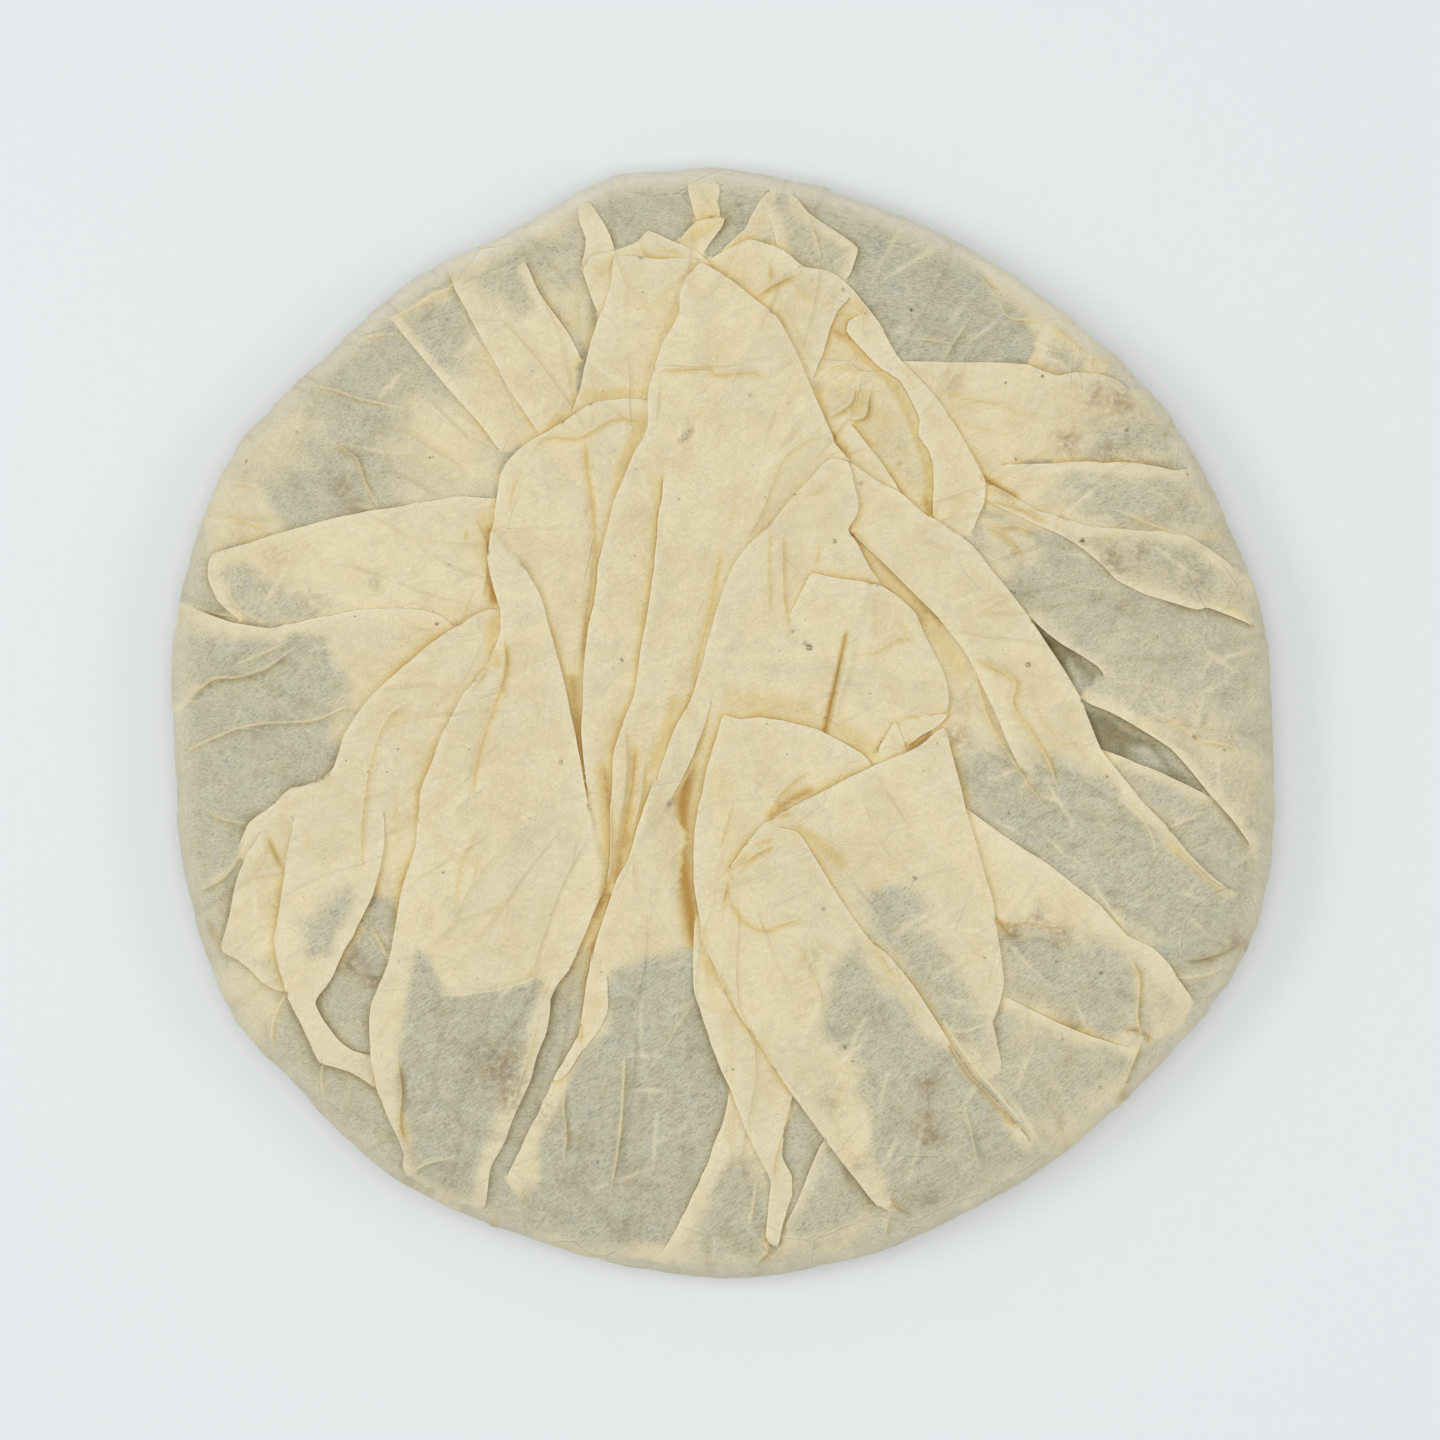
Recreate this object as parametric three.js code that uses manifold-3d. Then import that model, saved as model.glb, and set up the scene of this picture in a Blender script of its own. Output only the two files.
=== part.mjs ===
// A pressed cake of pu erh tea, wrapped in one sheet of thin cotton paper.
// It lies face down, so the side where the paper is gathered and pleated is up.
// Millimetres, +Z up, origin in the middle of the flat spot that it rests on.
import * as THREE from 'three';
import { mergeVertices } from 'three/addons/utils/BufferGeometryUtils.js';
import Module from 'manifold-3d';

const wasm = await Module();
wasm.setup();

// Driving dimensions
const RIM_HEIGHT = 10.5;         // height of the widest line of the cake
const CROWN_HEIGHT = 21.5;       // height of the pressed cake's upper side
const AIR_UNDER_RIM_PAPER = 1.3; // the paper stands off the cake at its widest line
const DISH_DEPTH = 1.6;          // the dimple that the pressing bag's knot leaves in the back
const DISH_RADIUS = 42;
const SHOULDER_POWER = 6;        // how squarely the upper side turns down into the rim
const SECTORS = 64;              // facets around the cake
const PAPER_COLOUR = 0xddd0a6;
const PAPER_ROUGHNESS = 0.92;

// The wrapped rim seen from above, anticlockwise from the right: it is not a true circle
const RIM = [
  [101.5, 0], [101, 12], [99, 22], [95, 33], [90, 44], [85, 53], [78, 62.5], [70, 70],
  [60, 78], [50, 85], [40, 90.5], [30, 95], [20, 98.5], [10, 101], [0, 102.5], [-10, 102],
  [-20, 101], [-30, 96], [-40, 90.5], [-50, 86], [-60, 80], [-70, 71], [-80, 61.5], [-90, 51],
  [-97, 35], [-101, 19], [-102, 6], [-101.2, -10], [-100.3, -24], [-97, -38], [-90, -55],
  [-80, -66], [-70, -76.7], [-60, -84.7], [-50, -89.8], [-40, -93.8], [-28, -97.8], [-14, -101.3],
  [6, -102.6], [20, -100], [32, -96.7], [45, -90.5], [58, -83.3], [70, -73.5], [82, -62],
  [90, -53], [97, -42], [101, -29], [102, -10],
];

// How far out, as a share of the rim's radius, the rings of facets lie on the upper side
const UPPER_RINGS = [
  0.08, 0.16, 0.24, 0.32, 0.4, 0.48, 0.56, 0.64, 0.72, 0.79, 0.85, 0.9, 0.94, 0.97, 0.988,
];

// The underside, from the rim inwards: share of the radius, and height
const UNDERSIDE = [[0.985, 7.4], [0.955, 5], [0.91, 3], [0.85, 1.4], [0.77, 0.4], [0.69, 0]];

// Each leaf of folded paper: its step at the fold, how far back the step fades out, the fold
// itself, and the points that close its outline under the pile or where it has faded out.
// They are laid in this order, the lowest first.
const LEAVES = [
  { name: 'north west pleat', step: 0.8, fade: 11,
    fold: [[-62, 75.5], [-57.5, 70], [-50, 61], [-45, 55.5], [-41, 50]],
    root: [[-33, 53], [-40, 66], [-47, 77], [-52, 81], [-57, 78]] },
  { name: 'north north west pleat', step: 0.8, fade: 11,
    fold: [[-51.5, 85], [-50, 81], [-44, 70], [-40, 62.5], [-33.5, 52.8]],
    root: [[-27, 57], [-31, 70], [-37, 83], [-42, 90]] },
  { name: 'soft pleat beside the tall panel', step: 0.5, fade: 9,
    fold: [[-26, 67], [-28.5, 72], [-34, 79.5], [-37, 86]],
    root: [[-43, 84], [-41, 72], [-34, 62]] },
  { name: 'north spur', step: 0.6, fade: 30,
    fold: [[-20, 87.7], [-22, 92.5], [-25.8, 98], [-26.5, 93], [-25.5, 90], [-26.2, 84], [-23, 75.5]],
    root: [[-18, 76]] },
  { name: 'tag at the top', step: 0.5, fade: 30,
    fold: [[-0.3, 92], [-0.7, 97], [-1, 100], [-6.5, 101], [-6.5, 99], [-5, 92]],
    root: [[-3, 88]] },
  { name: 'twisted end', step: 1.3, fade: 30,
    fold: [[-4, 87], [-0.5, 91.5], [0.3, 93.5], [-5, 93.5], [-8.5, 89]],
    root: [[-5, 86]] },
  { name: 'small spur right of the tag', step: 0.5, fade: 12,
    fold: [[9.5, 100], [6.5, 97], [5, 94], [4, 91.5], [0, 88]],
    root: [[4, 84], [10.5, 86], [9.5, 92]] },
  { name: 'gusset at the top right', step: 0.6, fade: 14,
    fold: [[22.5, 82], [25, 88], [19, 92.5], [16, 94.5], [12, 100]],
    root: [[12, 92], [15, 83]] },
  { name: 'north east panel', step: 0.5, fade: 9,
    fold: [[60.5, 76], [58.3, 71], [56.5, 66]],
    root: [[66, 62], [69, 67]] },
  { name: 'upper east band', step: 0.9, fade: 15,
    fold: [[77, 62.5], [70, 64.7], [62, 64.5], [56, 66.5], [33, 67]],
    root: [[36, 56], [50, 50], [72, 49], [83, 54]] },
  { name: 'east band', step: 0.6, fade: 10,
    fold: [[87, 47.5], [84, 47], [75, 48.2], [51, 48]],
    root: [[52, 41], [75, 37], [90, 41]] },
  { name: 'double east pleat', step: 0.7, fade: 30,
    fold: [[98, 26.5], [94, 29.5], [86, 34.7], [68, 36.3], [58, 39.5], [47, 45], [46, 41], [58, 36.7],
      [65, 33.5], [73, 26.5], [83, 22.5], [90, 21.3], [98, 18.3]],
    root: [] },
  { name: 'panel above the upper slot', step: 0.6, fade: 10,
    fold: [[56, 20.5], [63, 14.5], [69.5, 10.5], [72.5, 6]],
    root: [[80, 8], [77, 18], [64, 24]] },
  { name: 'panel between the slots', step: 0.8, fade: 12,
    fold: [[66, 4.8], [72, 2], [78, -1.5], [83, -4.7], [87, -9], [91, -14], [95, -18.5], [99, -25]],
    root: [[101, -12], [92, 4], [78, 8], [70, 9]] },
  { name: 'panel below the lower slot', step: 0.5, fade: 10,
    fold: [[89, -13], [85, -11], [80, -8.7], [75, -6.7], [69, -4.5]],
    root: [[76, -16], [86, -24], [94, -22]] },
  { name: 'left rim panel', step: 0.4, fade: 8,
    fold: [[-101, 2.5], [-97, 6.5], [-94, 8.3], [-85, 10], [-79, 14]],
    root: [[-82, 17], [-100, 16]] },
  { name: 'upper west band', step: 0.8, fade: 18,
    fold: [[-42, 41.5], [-50, 41.8], [-60, 40.2], [-70, 38.3], [-83, 35.2], [-95, 31], [-95.7, 27],
      [-94, 23], [-90, 19]],
    root: [[-60, 19], [-40, 20]] },
  { name: 'west band', step: 0.7, fade: 15,
    fold: [[-49, 17.5], [-52, 19.5], [-55, 20.8], [-66, 21], [-78, 18.8], [-84, 17.7], [-91, 18.5],
      [-100, 22]],
    root: [[-101, 9], [-85, 4], [-66, 4], [-52, 8]] },
  { name: 'lower left pile', step: 1.1, fade: 17,
    fold: [[-40.5, 21], [-47, 19.5], [-55, 14], [-64, 6], [-70, -2], [-72, -8.5], [-80, -12.3],
      [-88, -18.5], [-90.5, -22]],
    root: [[-88, -36], [-72, -44], [-55, -30], [-40, 0]] },
  { name: 'outer west leaf', step: 0.6, fade: 9,
    fold: [[-86, -20.5], [-89.5, -27], [-92, -36], [-93, -42.5], [-88, -45.5], [-80, -50.5]],
    root: [[-76, -42], [-79, -26]] },
  { name: 'west leaf', step: 0.9, fade: 20,
    fold: [[-79.5, -18], [-81, -28], [-83, -40], [-80.5, -51], [-74.5, -63], [-73, -56], [-75.5, -51.5],
      [-68, -38], [-65, -32], [-62.7, -22], [-63, -17]],
    root: [[-66, -8], [-74, -12]] },
  { name: 'tongue beside the crown', step: 1, fade: 20,
    fold: [[-13, 60], [-18, 60], [-28, 57], [-38, 50.5], [-41.5, 45], [-42.5, 37], [-43.5, 30],
      [-41, 21], [-40, 14]],
    root: [[-26, -8], [-14, 20]] },
  { name: 'lower left leaf', step: 1, fade: 26,
    fold: [[-42, 33], [-43.5, 30], [-41.2, 21], [-43, 12], [-49, 3.5], [-54, -7], [-56.3, -18],
      [-60, -33], [-61.5, -42], [-65.5, -55], [-65, -63], [-62, -73], [-59.3, -81], [-56, -86],
      [-45, -89], [-43, -82.5], [-36.5, -68], [-33, -58], [-32, -51], [-26, -40], [-22, -31],
      [-24.7, -17], [-26.2, -6], [-28.5, 5], [-32, 17], [-37, 29]],
    root: [] },
  { name: 'bottom panel', step: 0.8, fade: 12,
    fold: [[-21, -30], [-24.5, -37], [-25, -45], [-26.5, -57], [-31, -66], [-36, -77], [-40.5, -84]],
    root: [[-30, -86], [-18, -60], [-12, -38]] },
  { name: 'thin pleat on the bottom panel', step: 0.5, fade: 30,
    fold: [[-23, -33], [-24.5, -37], [-25, -45], [-26.5, -57], [-31, -66], [-26, -62.5], [-21.3, -54],
      [-21.5, -45]],
    root: [[-20, -32]] },
  { name: 'far bottom strip', step: 0.5, fade: 10,
    fold: [[1.5, -68], [0, -74], [-2, -80], [-8, -93], [-11.5, -99]],
    root: [[2, -99], [8, -84], [6, -68]] },
  { name: 'bottom right strip', step: 0.5, fade: 10,
    fold: [[9.5, -99], [12, -92.5], [15, -86], [19, -77]],
    root: [[28, -86], [22, -97]] },
  { name: 'bottom strip', step: 0.7, fade: 20,
    fold: [[-5, -38], [-5.5, -42], [-5, -50], [-2, -60], [1.5, -68], [5, -77], [8.7, -84], [8.3, -95],
      [10, -86], [11, -75], [13.5, -68]],
    root: [[8, -55], [0, -40]] },
  { name: 'crumpled panel right of the crown', step: 0.7, fade: 30,
    fold: [[46.2, 34.5], [48.3, 44], [46, 50], [40, 59.5], [33, 67], [29, 74], [24, 80.5], [19, 84],
      [15, 84.5], [9, 88.5], [5, 89.5], [0, 87.5], [-2.5, 86]],
    root: [[5, 70], [18, 48], [36, 36]] },
  { name: 'raised border of that panel', step: 0.8, fade: 20,
    fold: [[46.2, 34.5], [48.3, 44], [46, 50], [40, 59.5], [33, 67], [29, 74], [24.5, 80], [20.5, 74],
      [24, 70.5], [31, 64], [36, 56], [39, 45], [38.7, 38.5]],
    root: [[42, 33]] },
  { name: 'collar behind the crown', step: 0.5, fade: 20,
    fold: [[-2, 85.5], [-5, 87.5], [-14, 91], [-20, 87.5], [-26, 85], [-23, 76]],
    root: [[-12, 70]] },
  { name: 'tall panel left of the crown', step: 0.7, fade: 30,
    fold: [[-5, 85.8], [-20, 86.2], [-21, 80], [-23, 75], [-26.5, 62], [-28.5, 56]],
    root: [[-14, 52], [-4, 76]] },
  { name: 'long diagonal band', step: 1, fade: 20,
    fold: [[96, -31.7], [90, -28], [82, -19], [74, -10], [70, -5], [66, 5], [60, 14.5], [53, 24.5],
      [46.5, 32.5], [37, 39], [29, 44.5], [20, 53], [14, 48], [23, 36], [30, 29.5], [40, 19.5],
      [45, 13], [49, 4], [54, -6]],
    root: [[62, -20], [76, -34], [88, -38]] },
  { name: 'lower east band', step: 0.8, fade: 13,
    fold: [[87.5, -51.5], [83, -45], [75, -39.5], [65, -30], [55, -23], [44, -15.5]],
    root: [[48, -36], [66, -50], [80, -57]] },
  { name: 'south east panel', step: 0.6, fade: 10,
    fold: [[76, -60.5], [68, -58], [58, -53.5], [50, -49.5]],
    root: [[50, -62], [60, -72], [74, -69]] },
  { name: 'crown leaf', step: 1.2, fade: 34,
    fold: [[20.5, 52.5], [16.5, 61.5], [12, 71.5], [10, 75], [5, 79], [-4, 85], [-7.8, 79.5],
      [-8, 75.5], [-12, 68], [-14, 60], [-14, 55], [-20.5, 40], [-22.8, 30], [-25, 16], [-26.2, 0],
      [-25, -8]],
    root: [[-22, -30], [-12, -20], [-2, 5], [8, 40]] },
  { name: 'pleat down the crown leaf', step: 0.6, fade: 8,
    fold: [[-12, 38], [-12.5, 30], [-14, 20], [-16.5, 5], [-19.5, -2], [-20.8, -15], [-21.3, -28]],
    root: [[-18, -26], [-12, 0], [-7, 24]] },
  { name: 'middle leaf', step: 0.9, fade: 26,
    fold: [[30, 24], [27, 29], [23, 36], [25, 40], [23, 48.5], [20, 48.5], [13, 42], [5, 33.5],
      [0, 25], [-2, 18], [-5.5, 5], [-10.5, -5], [-14.5, -15], [-20, -29], [-16, -24], [-10, -15],
      [-7, -9], [-3, 2]],
    root: [[4, -4], [24, -2]] },
  { name: 'flap on the middle leaf', step: 0.8, fade: 24,
    fold: [[12, 20], [16.5, 27.7], [25, 26.3], [29.5, 25.3], [35.5, 20.5], [39, 13], [41.7, 5],
      [40, -1]],
    root: [[32, -8], [22, -3], [17, 8]] },
  { name: 'lower right leaf', step: 0.9, fade: 26,
    fold: [[28, -8], [22, -3.5], [15, -0.5], [7, 1], [0, 1.5], [-3, -9], [-5.3, -22], [-5.3, -30],
      [-3.5, -40], [0, -49], [7, -60], [16, -73], [28.5, -89.5]],
    root: [[44, -84], [34, -50], [30, -20]] },
  { name: 'right flap', step: 1, fade: 26,
    fold: [[51.5, -64], [50.2, -55.5], [52, -48], [50, -33], [45, -16], [41, -1], [28, -8],
      [13, -16], [8.3, -18.3], [0.8, -27.3]],
    root: [[14, -30], [24, -36], [35, -48], [43, -61], [47, -66]] },
  { name: 'fold down the lower right leaf', step: 0.4, fade: 9,
    fold: [[14, -20.5], [20, -30], [24, -36], [35, -48], [43, -61], [53, -73], [58, -79]],
    root: [[46, -76], [32, -58], [18, -38], [8, -27]] },
];

// Sharp creases that stand up from the paper without a step: points, half width and height
const CREASES = [
  { half: 0.9, height: 0.5, line: [[-101, -7], [-95, -3], [-85, 0], [-76, 0.5], [-67, 4]] },
  { half: 0.8, height: 0.4, line: [[-97, -15], [-94, -17.5], [-89, -18.7]] },
  { half: 0.8, height: 0.5, line: [[-76, 62.8], [-68, 60.3], [-60, 58.5]] },
  { half: 0.8, height: 0.5, line: [[-73, 52.5], [-68, 49], [-66.5, 45], [-64, 40]] },
  { half: 0.8, height: 0.5, line: [[46, 75.5], [43, 71], [40.5, 67]] },
  { half: 0.8, height: 0.5, line: [[73, 39.5], [79, 37], [86, 34.5]] },
  { half: 0.8, height: 0.5, line: [[82.5, -19.5], [89, -16.5]] },
  { half: 0.8, height: 0.5, line: [[75, -43], [77, -47], [76.8, -55], [78, -58.5]] },
  { half: 0.8, height: 0.5, line: [[-18.3, -62], [-19, -75], [-21, -87]] },
  { half: 0.8, height: 0.5, line: [[44, -70], [46, -76], [48, -84]] },
  { half: 0.8, height: 0.5, line: [[-73, -63], [-67, -65], [-64.5, -66.5]] },
  { half: 0.8, height: 0.5, line: [[11, 36], [11, 28], [11.5, 21], [14, 13]] },
  { half: 0.8, height: 0.4, line: [[54, 8], [55, 3], [60, -9], [62, -13]] },
  { half: 0.8, height: 0.4, line: [[-40.5, 12], [-44.5, -2], [-46.8, -14]] },
];

const TAU = Math.PI * 2;
const RIM_STEPS = 8;      // how finely the rim's curve is followed between two of its points
const SINK = 0.35;        // a leaf that has faded out runs this far under the paper around it
const LEAF_FLOOR = 11;    // leaves are solid down to here, which is inside the cake
const RIM_MARGIN = 0.985; // no leaf stands proud of the cake beyond this share of the radius
const RIM_TAPER = 0.05;   // and each step shrinks to nothing over this share before it
const ROOT_TAPER = 6;     // each step also shrinks to nothing over this width at the leaf's root
const ROOF_CORNERS = 4;   // a crease's section: left foot, crest, right foot and keel

// The rim's radius in the direction of an angle, from a smooth closed curve through its points
function makeRimRadius() {
  const corners = RIM.map(([x, y]) => new THREE.Vector3(x, y, 0));
  const curve = new THREE.CatmullRomCurve3(corners, true, 'centripetal');
  const spots = curve.getPoints(RIM.length * RIM_STEPS);
  const polar = spots.map((p) => [Math.atan2(p.y, p.x), Math.hypot(p.x, p.y)]);
  polar.sort((a, b) => a[0] - b[0]);
  const first = polar[0];
  const last = polar[polar.length - 1];
  const ring = [[last[0] - TAU, last[1]], ...polar, [first[0] + TAU, first[1]]];
  return (angle) => {
    const turned = Math.atan2(Math.sin(angle), Math.cos(angle));
    const after = ring.findIndex((entry) => entry[0] > turned);
    const [a0, r0] = ring[after - 1];
    const [a1, r1] = ring[after];
    return AIR_UNDER_RIM_PAPER + r0 + ((r1 - r0) * (turned - a0)) / (a1 - a0);
  };
}

const rimRadius = makeRimRadius();

function shareOfRadius(x, y) {
  return Math.min(1, Math.hypot(x, y) / rimRadius(Math.atan2(y, x)));
}

// The pressed cake under the folds: a flat dish inside a broad ring, and a rounded shoulder
function cakeTop(x, y) {
  const share = shareOfRadius(x, y);
  const shoulder = Math.sqrt(1 - share ** SHOULDER_POWER);
  const dish = DISH_DEPTH * Math.exp(-((x * x + y * y) / DISH_RADIUS ** 2));
  return RIM_HEIGHT + (CROWN_HEIGHT - RIM_HEIGHT) * shoulder - dish;
}

function distanceToLine(x, y, line) {
  let nearest = Infinity;
  for (let i = 1; i < line.length; i += 1) {
    const [ax, ay] = line[i - 1];
    const [bx, by] = line[i];
    const dx = bx - ax;
    const dy = by - ay;
    const along = THREE.MathUtils.clamp(((x - ax) * dx + (y - ay) * dy) / (dx * dx + dy * dy), 0, 1);
    nearest = Math.min(nearest, Math.hypot(x - ax - along * dx, y - ay - along * dy));
  }
  return nearest;
}

function isInside(x, y, outline) {
  let inside = false;
  outline.forEach(([ax, ay], i) => {
    const [bx, by] = outline[(i + outline.length - 1) % outline.length];
    if ((ay > y) !== (by > y) && x < ((bx - ax) * (y - ay)) / (by - ay) + ax) {
      inside = !inside;
    }
  });
  return inside;
}

// A leaf's own thickness at a point: full at the fold, fading out with the distance from it and
// towards the root and the rim, and sunk a little where it has faded out
function leafLift(leaf, x, y) {
  const awayFromFold = Math.max(0, 1 - (distanceToLine(x, y, leaf.fold) / leaf.fade) ** 2);
  const rootLine = [leaf.fold[leaf.fold.length - 1], ...leaf.root, leaf.fold[0]];
  const hasRoot = leaf.root.length > 0;
  const inFromRoot = hasRoot ? Math.min(1, distanceToLine(x, y, rootLine) / ROOT_TAPER) : 1;
  const inFromRim = THREE.MathUtils.clamp((RIM_MARGIN - shareOfRadius(x, y)) / RIM_TAPER, 0, 1);
  return (leaf.step + SINK) * awayFromFold * inFromRoot * inFromRim - SINK;
}

// The height of the paper once the first leaves are laid
function paperHeight(x, y, leaves) {
  return leaves.reduce((height, leaf) => {
    const covers = isInside(x, y, [...leaf.fold, ...leaf.root]);
    return covers ? height + Math.max(0, leafLift(leaf, x, y)) : height;
  }, cakeTop(x, y));
}

// A closed solid from a list of corners and a list of triangles
function solidFrom(corners, triangles) {
  const vertProperties = new Float32Array(corners.flat());
  const triVerts = new Uint32Array(triangles.flat());
  return new wasm.Manifold(new wasm.Mesh({ numProp: 3, vertProperties, triVerts }));
}

// The whole disc in rings of facets, with its upper side at the height that topAt gives
function discSolid(topAt) {
  const corners = [[0, 0, topAt(0, 0)]];
  const triangles = [];
  const addRing = (share, heightAt) => {
    for (let s = 0; s < SECTORS; s += 1) {
      const angle = (s / SECTORS) * TAU;
      const radius = share * rimRadius(angle);
      const x = radius * Math.cos(angle);
      const y = radius * Math.sin(angle);
      corners.push([x, y, heightAt(x, y)]);
    }
  };
  UPPER_RINGS.forEach((share) => addRing(share, topAt));
  addRing(1, () => RIM_HEIGHT);
  UNDERSIDE.forEach(([share, height]) => addRing(share, () => height));
  corners.push([0, 0, 0]);

  const rings = UPPER_RINGS.length + 1 + UNDERSIDE.length;
  const at = (ring, sector) => 1 + ring * SECTORS + (sector % SECTORS);
  for (let s = 0; s < SECTORS; s += 1) {
    triangles.push([0, at(0, s), at(0, s + 1)]);
    triangles.push([corners.length - 1, at(rings - 1, s + 1), at(rings - 1, s)]);
    for (let ring = 1; ring < rings; ring += 1) {
      triangles.push([at(ring - 1, s), at(ring, s), at(ring, s + 1)]);
      triangles.push([at(ring - 1, s), at(ring, s + 1), at(ring - 1, s + 1)]);
    }
  }
  return solidFrom(corners, triangles);
}

// An upright prism on an outline, tall enough to cut a leaf out of a thicker disc
function outlinePrism(outline) {
  const shape = new THREE.Shape(outline.map(([x, y]) => new THREE.Vector2(x, y)));
  const geometry = new THREE.ExtrudeGeometry(shape, { depth: 2 * CROWN_HEIGHT, bevelEnabled: false });
  geometry.translate(0, 0, LEAF_FLOOR);
  geometry.deleteAttribute('normal');
  geometry.deleteAttribute('uv');
  const merged = mergeVertices(geometry, 1e-4);
  const vertProperties = new Float32Array(merged.attributes.position.array);
  const triVerts = new Uint32Array(merged.index.array);
  return new wasm.Manifold(new wasm.Mesh({ numProp: 3, vertProperties, triVerts }));
}

// One leaf of folded paper, as the part of a thicker disc that lies inside the leaf's outline
function leafSolid(leaf, leavesBelow) {
  const topAt = (x, y) => paperHeight(x, y, leavesBelow) + leafLift(leaf, x, y);
  return discSolid(topAt).intersect(outlinePrism([...leaf.fold, ...leaf.root]));
}

// One sharp crease: a low roof along a line, sunk into the paper at its feet and at its ends
function creaseSolid({ line, half, height }) {
  const corners = [];
  const triangles = [];
  line.forEach(([x, y], i) => {
    const [ax, ay] = line[Math.max(0, i - 1)];
    const [bx, by] = line[Math.min(line.length - 1, i + 1)];
    const length = Math.hypot(bx - ax, by - ay);
    const sideX = (-(by - ay) / length) * half;
    const sideY = ((bx - ax) / length) * half;
    const isEnd = i === 0 || i === line.length - 1;
    const paper = paperHeight(x, y, LEAVES);
    corners.push([x + sideX, y + sideY, paper - SINK]);
    corners.push([x, y, isEnd ? paper : paper + height]);
    corners.push([x - sideX, y - sideY, paper - SINK]);
    corners.push([x, y, paper - SINK - half]);
  });
  for (let i = 1; i < line.length; i += 1) {
    for (let side = 0; side < ROOF_CORNERS; side += 1) {
      const next = (side + 1) % ROOF_CORNERS;
      const a = (i - 1) * ROOF_CORNERS + side;
      const b = (i - 1) * ROOF_CORNERS + next;
      const c = i * ROOF_CORNERS + next;
      const d = i * ROOF_CORNERS + side;
      triangles.push([a, b, c], [a, c, d]);
    }
  }
  const last = (line.length - 1) * ROOF_CORNERS;
  triangles.push([0, 2, 1], [0, 3, 2], [last, last + 1, last + 2], [last, last + 2, last + 3]);
  return solidFrom(corners, triangles);
}

// The cake and its wrapper as one closed solid
function wrappedCake() {
  let solid = discSolid(cakeTop);
  LEAVES.forEach((leaf, i) => {
    solid = solid.add(leafSolid(leaf, LEAVES.slice(0, i)));
  });
  CREASES.forEach((crease) => {
    solid = solid.add(creaseSolid(crease));
  });
  const { vertProperties, triVerts } = solid.getMesh();
  const geometry = new THREE.BufferGeometry();
  geometry.setAttribute('position', new THREE.BufferAttribute(vertProperties, 3));
  geometry.setIndex(new THREE.BufferAttribute(triVerts, 1));
  geometry.computeVertexNormals();
  return geometry;
}

const paper = new THREE.MeshStandardMaterial({
  color: PAPER_COLOUR,
  roughness: PAPER_ROUGHNESS,
  metalness: 0,
});

const cake = new THREE.Mesh(wrappedCake(), paper);
cake.name = 'wrapped_tea_cake';

const group = new THREE.Group();
group.add(cake);

export default group;
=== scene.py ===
# A pressed cake of pu erh tea in its cotton paper wrapper, pleated back up.
# The paper is one mesh. Its folds are laid one after another on a fine height map, as the
# wrapper was folded, and the mesh follows that map with its edges along every fold.
import math
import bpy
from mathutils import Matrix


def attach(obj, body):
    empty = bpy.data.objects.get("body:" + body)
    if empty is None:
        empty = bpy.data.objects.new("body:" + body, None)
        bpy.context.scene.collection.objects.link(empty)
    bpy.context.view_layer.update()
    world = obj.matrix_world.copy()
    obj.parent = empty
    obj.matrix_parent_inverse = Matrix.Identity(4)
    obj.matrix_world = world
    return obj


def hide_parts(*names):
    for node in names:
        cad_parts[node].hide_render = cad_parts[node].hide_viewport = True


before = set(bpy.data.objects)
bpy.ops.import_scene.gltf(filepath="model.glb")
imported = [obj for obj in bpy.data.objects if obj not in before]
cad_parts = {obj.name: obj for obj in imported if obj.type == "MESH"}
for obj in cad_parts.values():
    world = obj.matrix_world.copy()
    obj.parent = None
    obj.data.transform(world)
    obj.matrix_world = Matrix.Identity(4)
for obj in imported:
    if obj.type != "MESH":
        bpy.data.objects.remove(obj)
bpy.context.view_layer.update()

from types import SimpleNamespace

import bpy
import numpy as np
from mathutils import Vector
from mathutils.geometry import delaunay_2d_cdt

NODE = "wrapped_tea_cake"
MM = 0.001

# The pressed cake, in millimetres, as in the part's source
RIM_HEIGHT = 10.5
CROWN_HEIGHT = 21.5
AIR_UNDER_RIM_PAPER = 1.3
DISH_DEPTH = 1.6
DISH_RADIUS = 42.0
SHOULDER_POWER = 6
RIM = [
    (101.5, 0), (101, 12), (99, 22), (95, 33), (90, 44), (85, 53), (78, 62.5), (70, 70),
    (60, 78), (50, 85), (40, 90.5), (30, 95), (20, 98.5), (10, 101), (0, 102.5), (-10, 102),
    (-20, 101), (-30, 96), (-40, 90.5), (-50, 86), (-60, 80), (-70, 71), (-80, 61.5), (-90, 51),
    (-97, 35), (-101, 19), (-102, 6), (-101.2, -10), (-100.3, -24), (-97, -38), (-90, -55),
    (-80, -66), (-70, -76.7), (-60, -84.7), (-50, -89.8), (-40, -93.8), (-28, -97.8),
    (-14, -101.3), (6, -102.6), (20, -100), (32, -96.7), (45, -90.5), (58, -83.3), (70, -73.5),
    (82, -62), (90, -53), (97, -42), (101, -29), (102, -10),
]
MEAN_RADIUS = 103.0     # turns an angle round the rim into a length

# The side, as shares of the radius, and the underside's section as shares and heights
UPPER_SHARES = [0.99, 0.9955, 0.999]
LOWER_SHARES = [1, 0.9985, 0.995, 0.99, 0.982, 0.972, 0.96, 0.945, 0.925, 0.9, 0.87, 0.835, 0.795,
                0.75, 0.7]
FLAT_SHARE = 0.66
UNDERSIDE = [(0.69, 0), (0.77, 0.4), (0.85, 1.4), (0.91, 3), (0.955, 5), (0.985, 7.4), (1, 10.5)]
UNDER_VEIL = 0.62       # how far the tea shows through underneath

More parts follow.
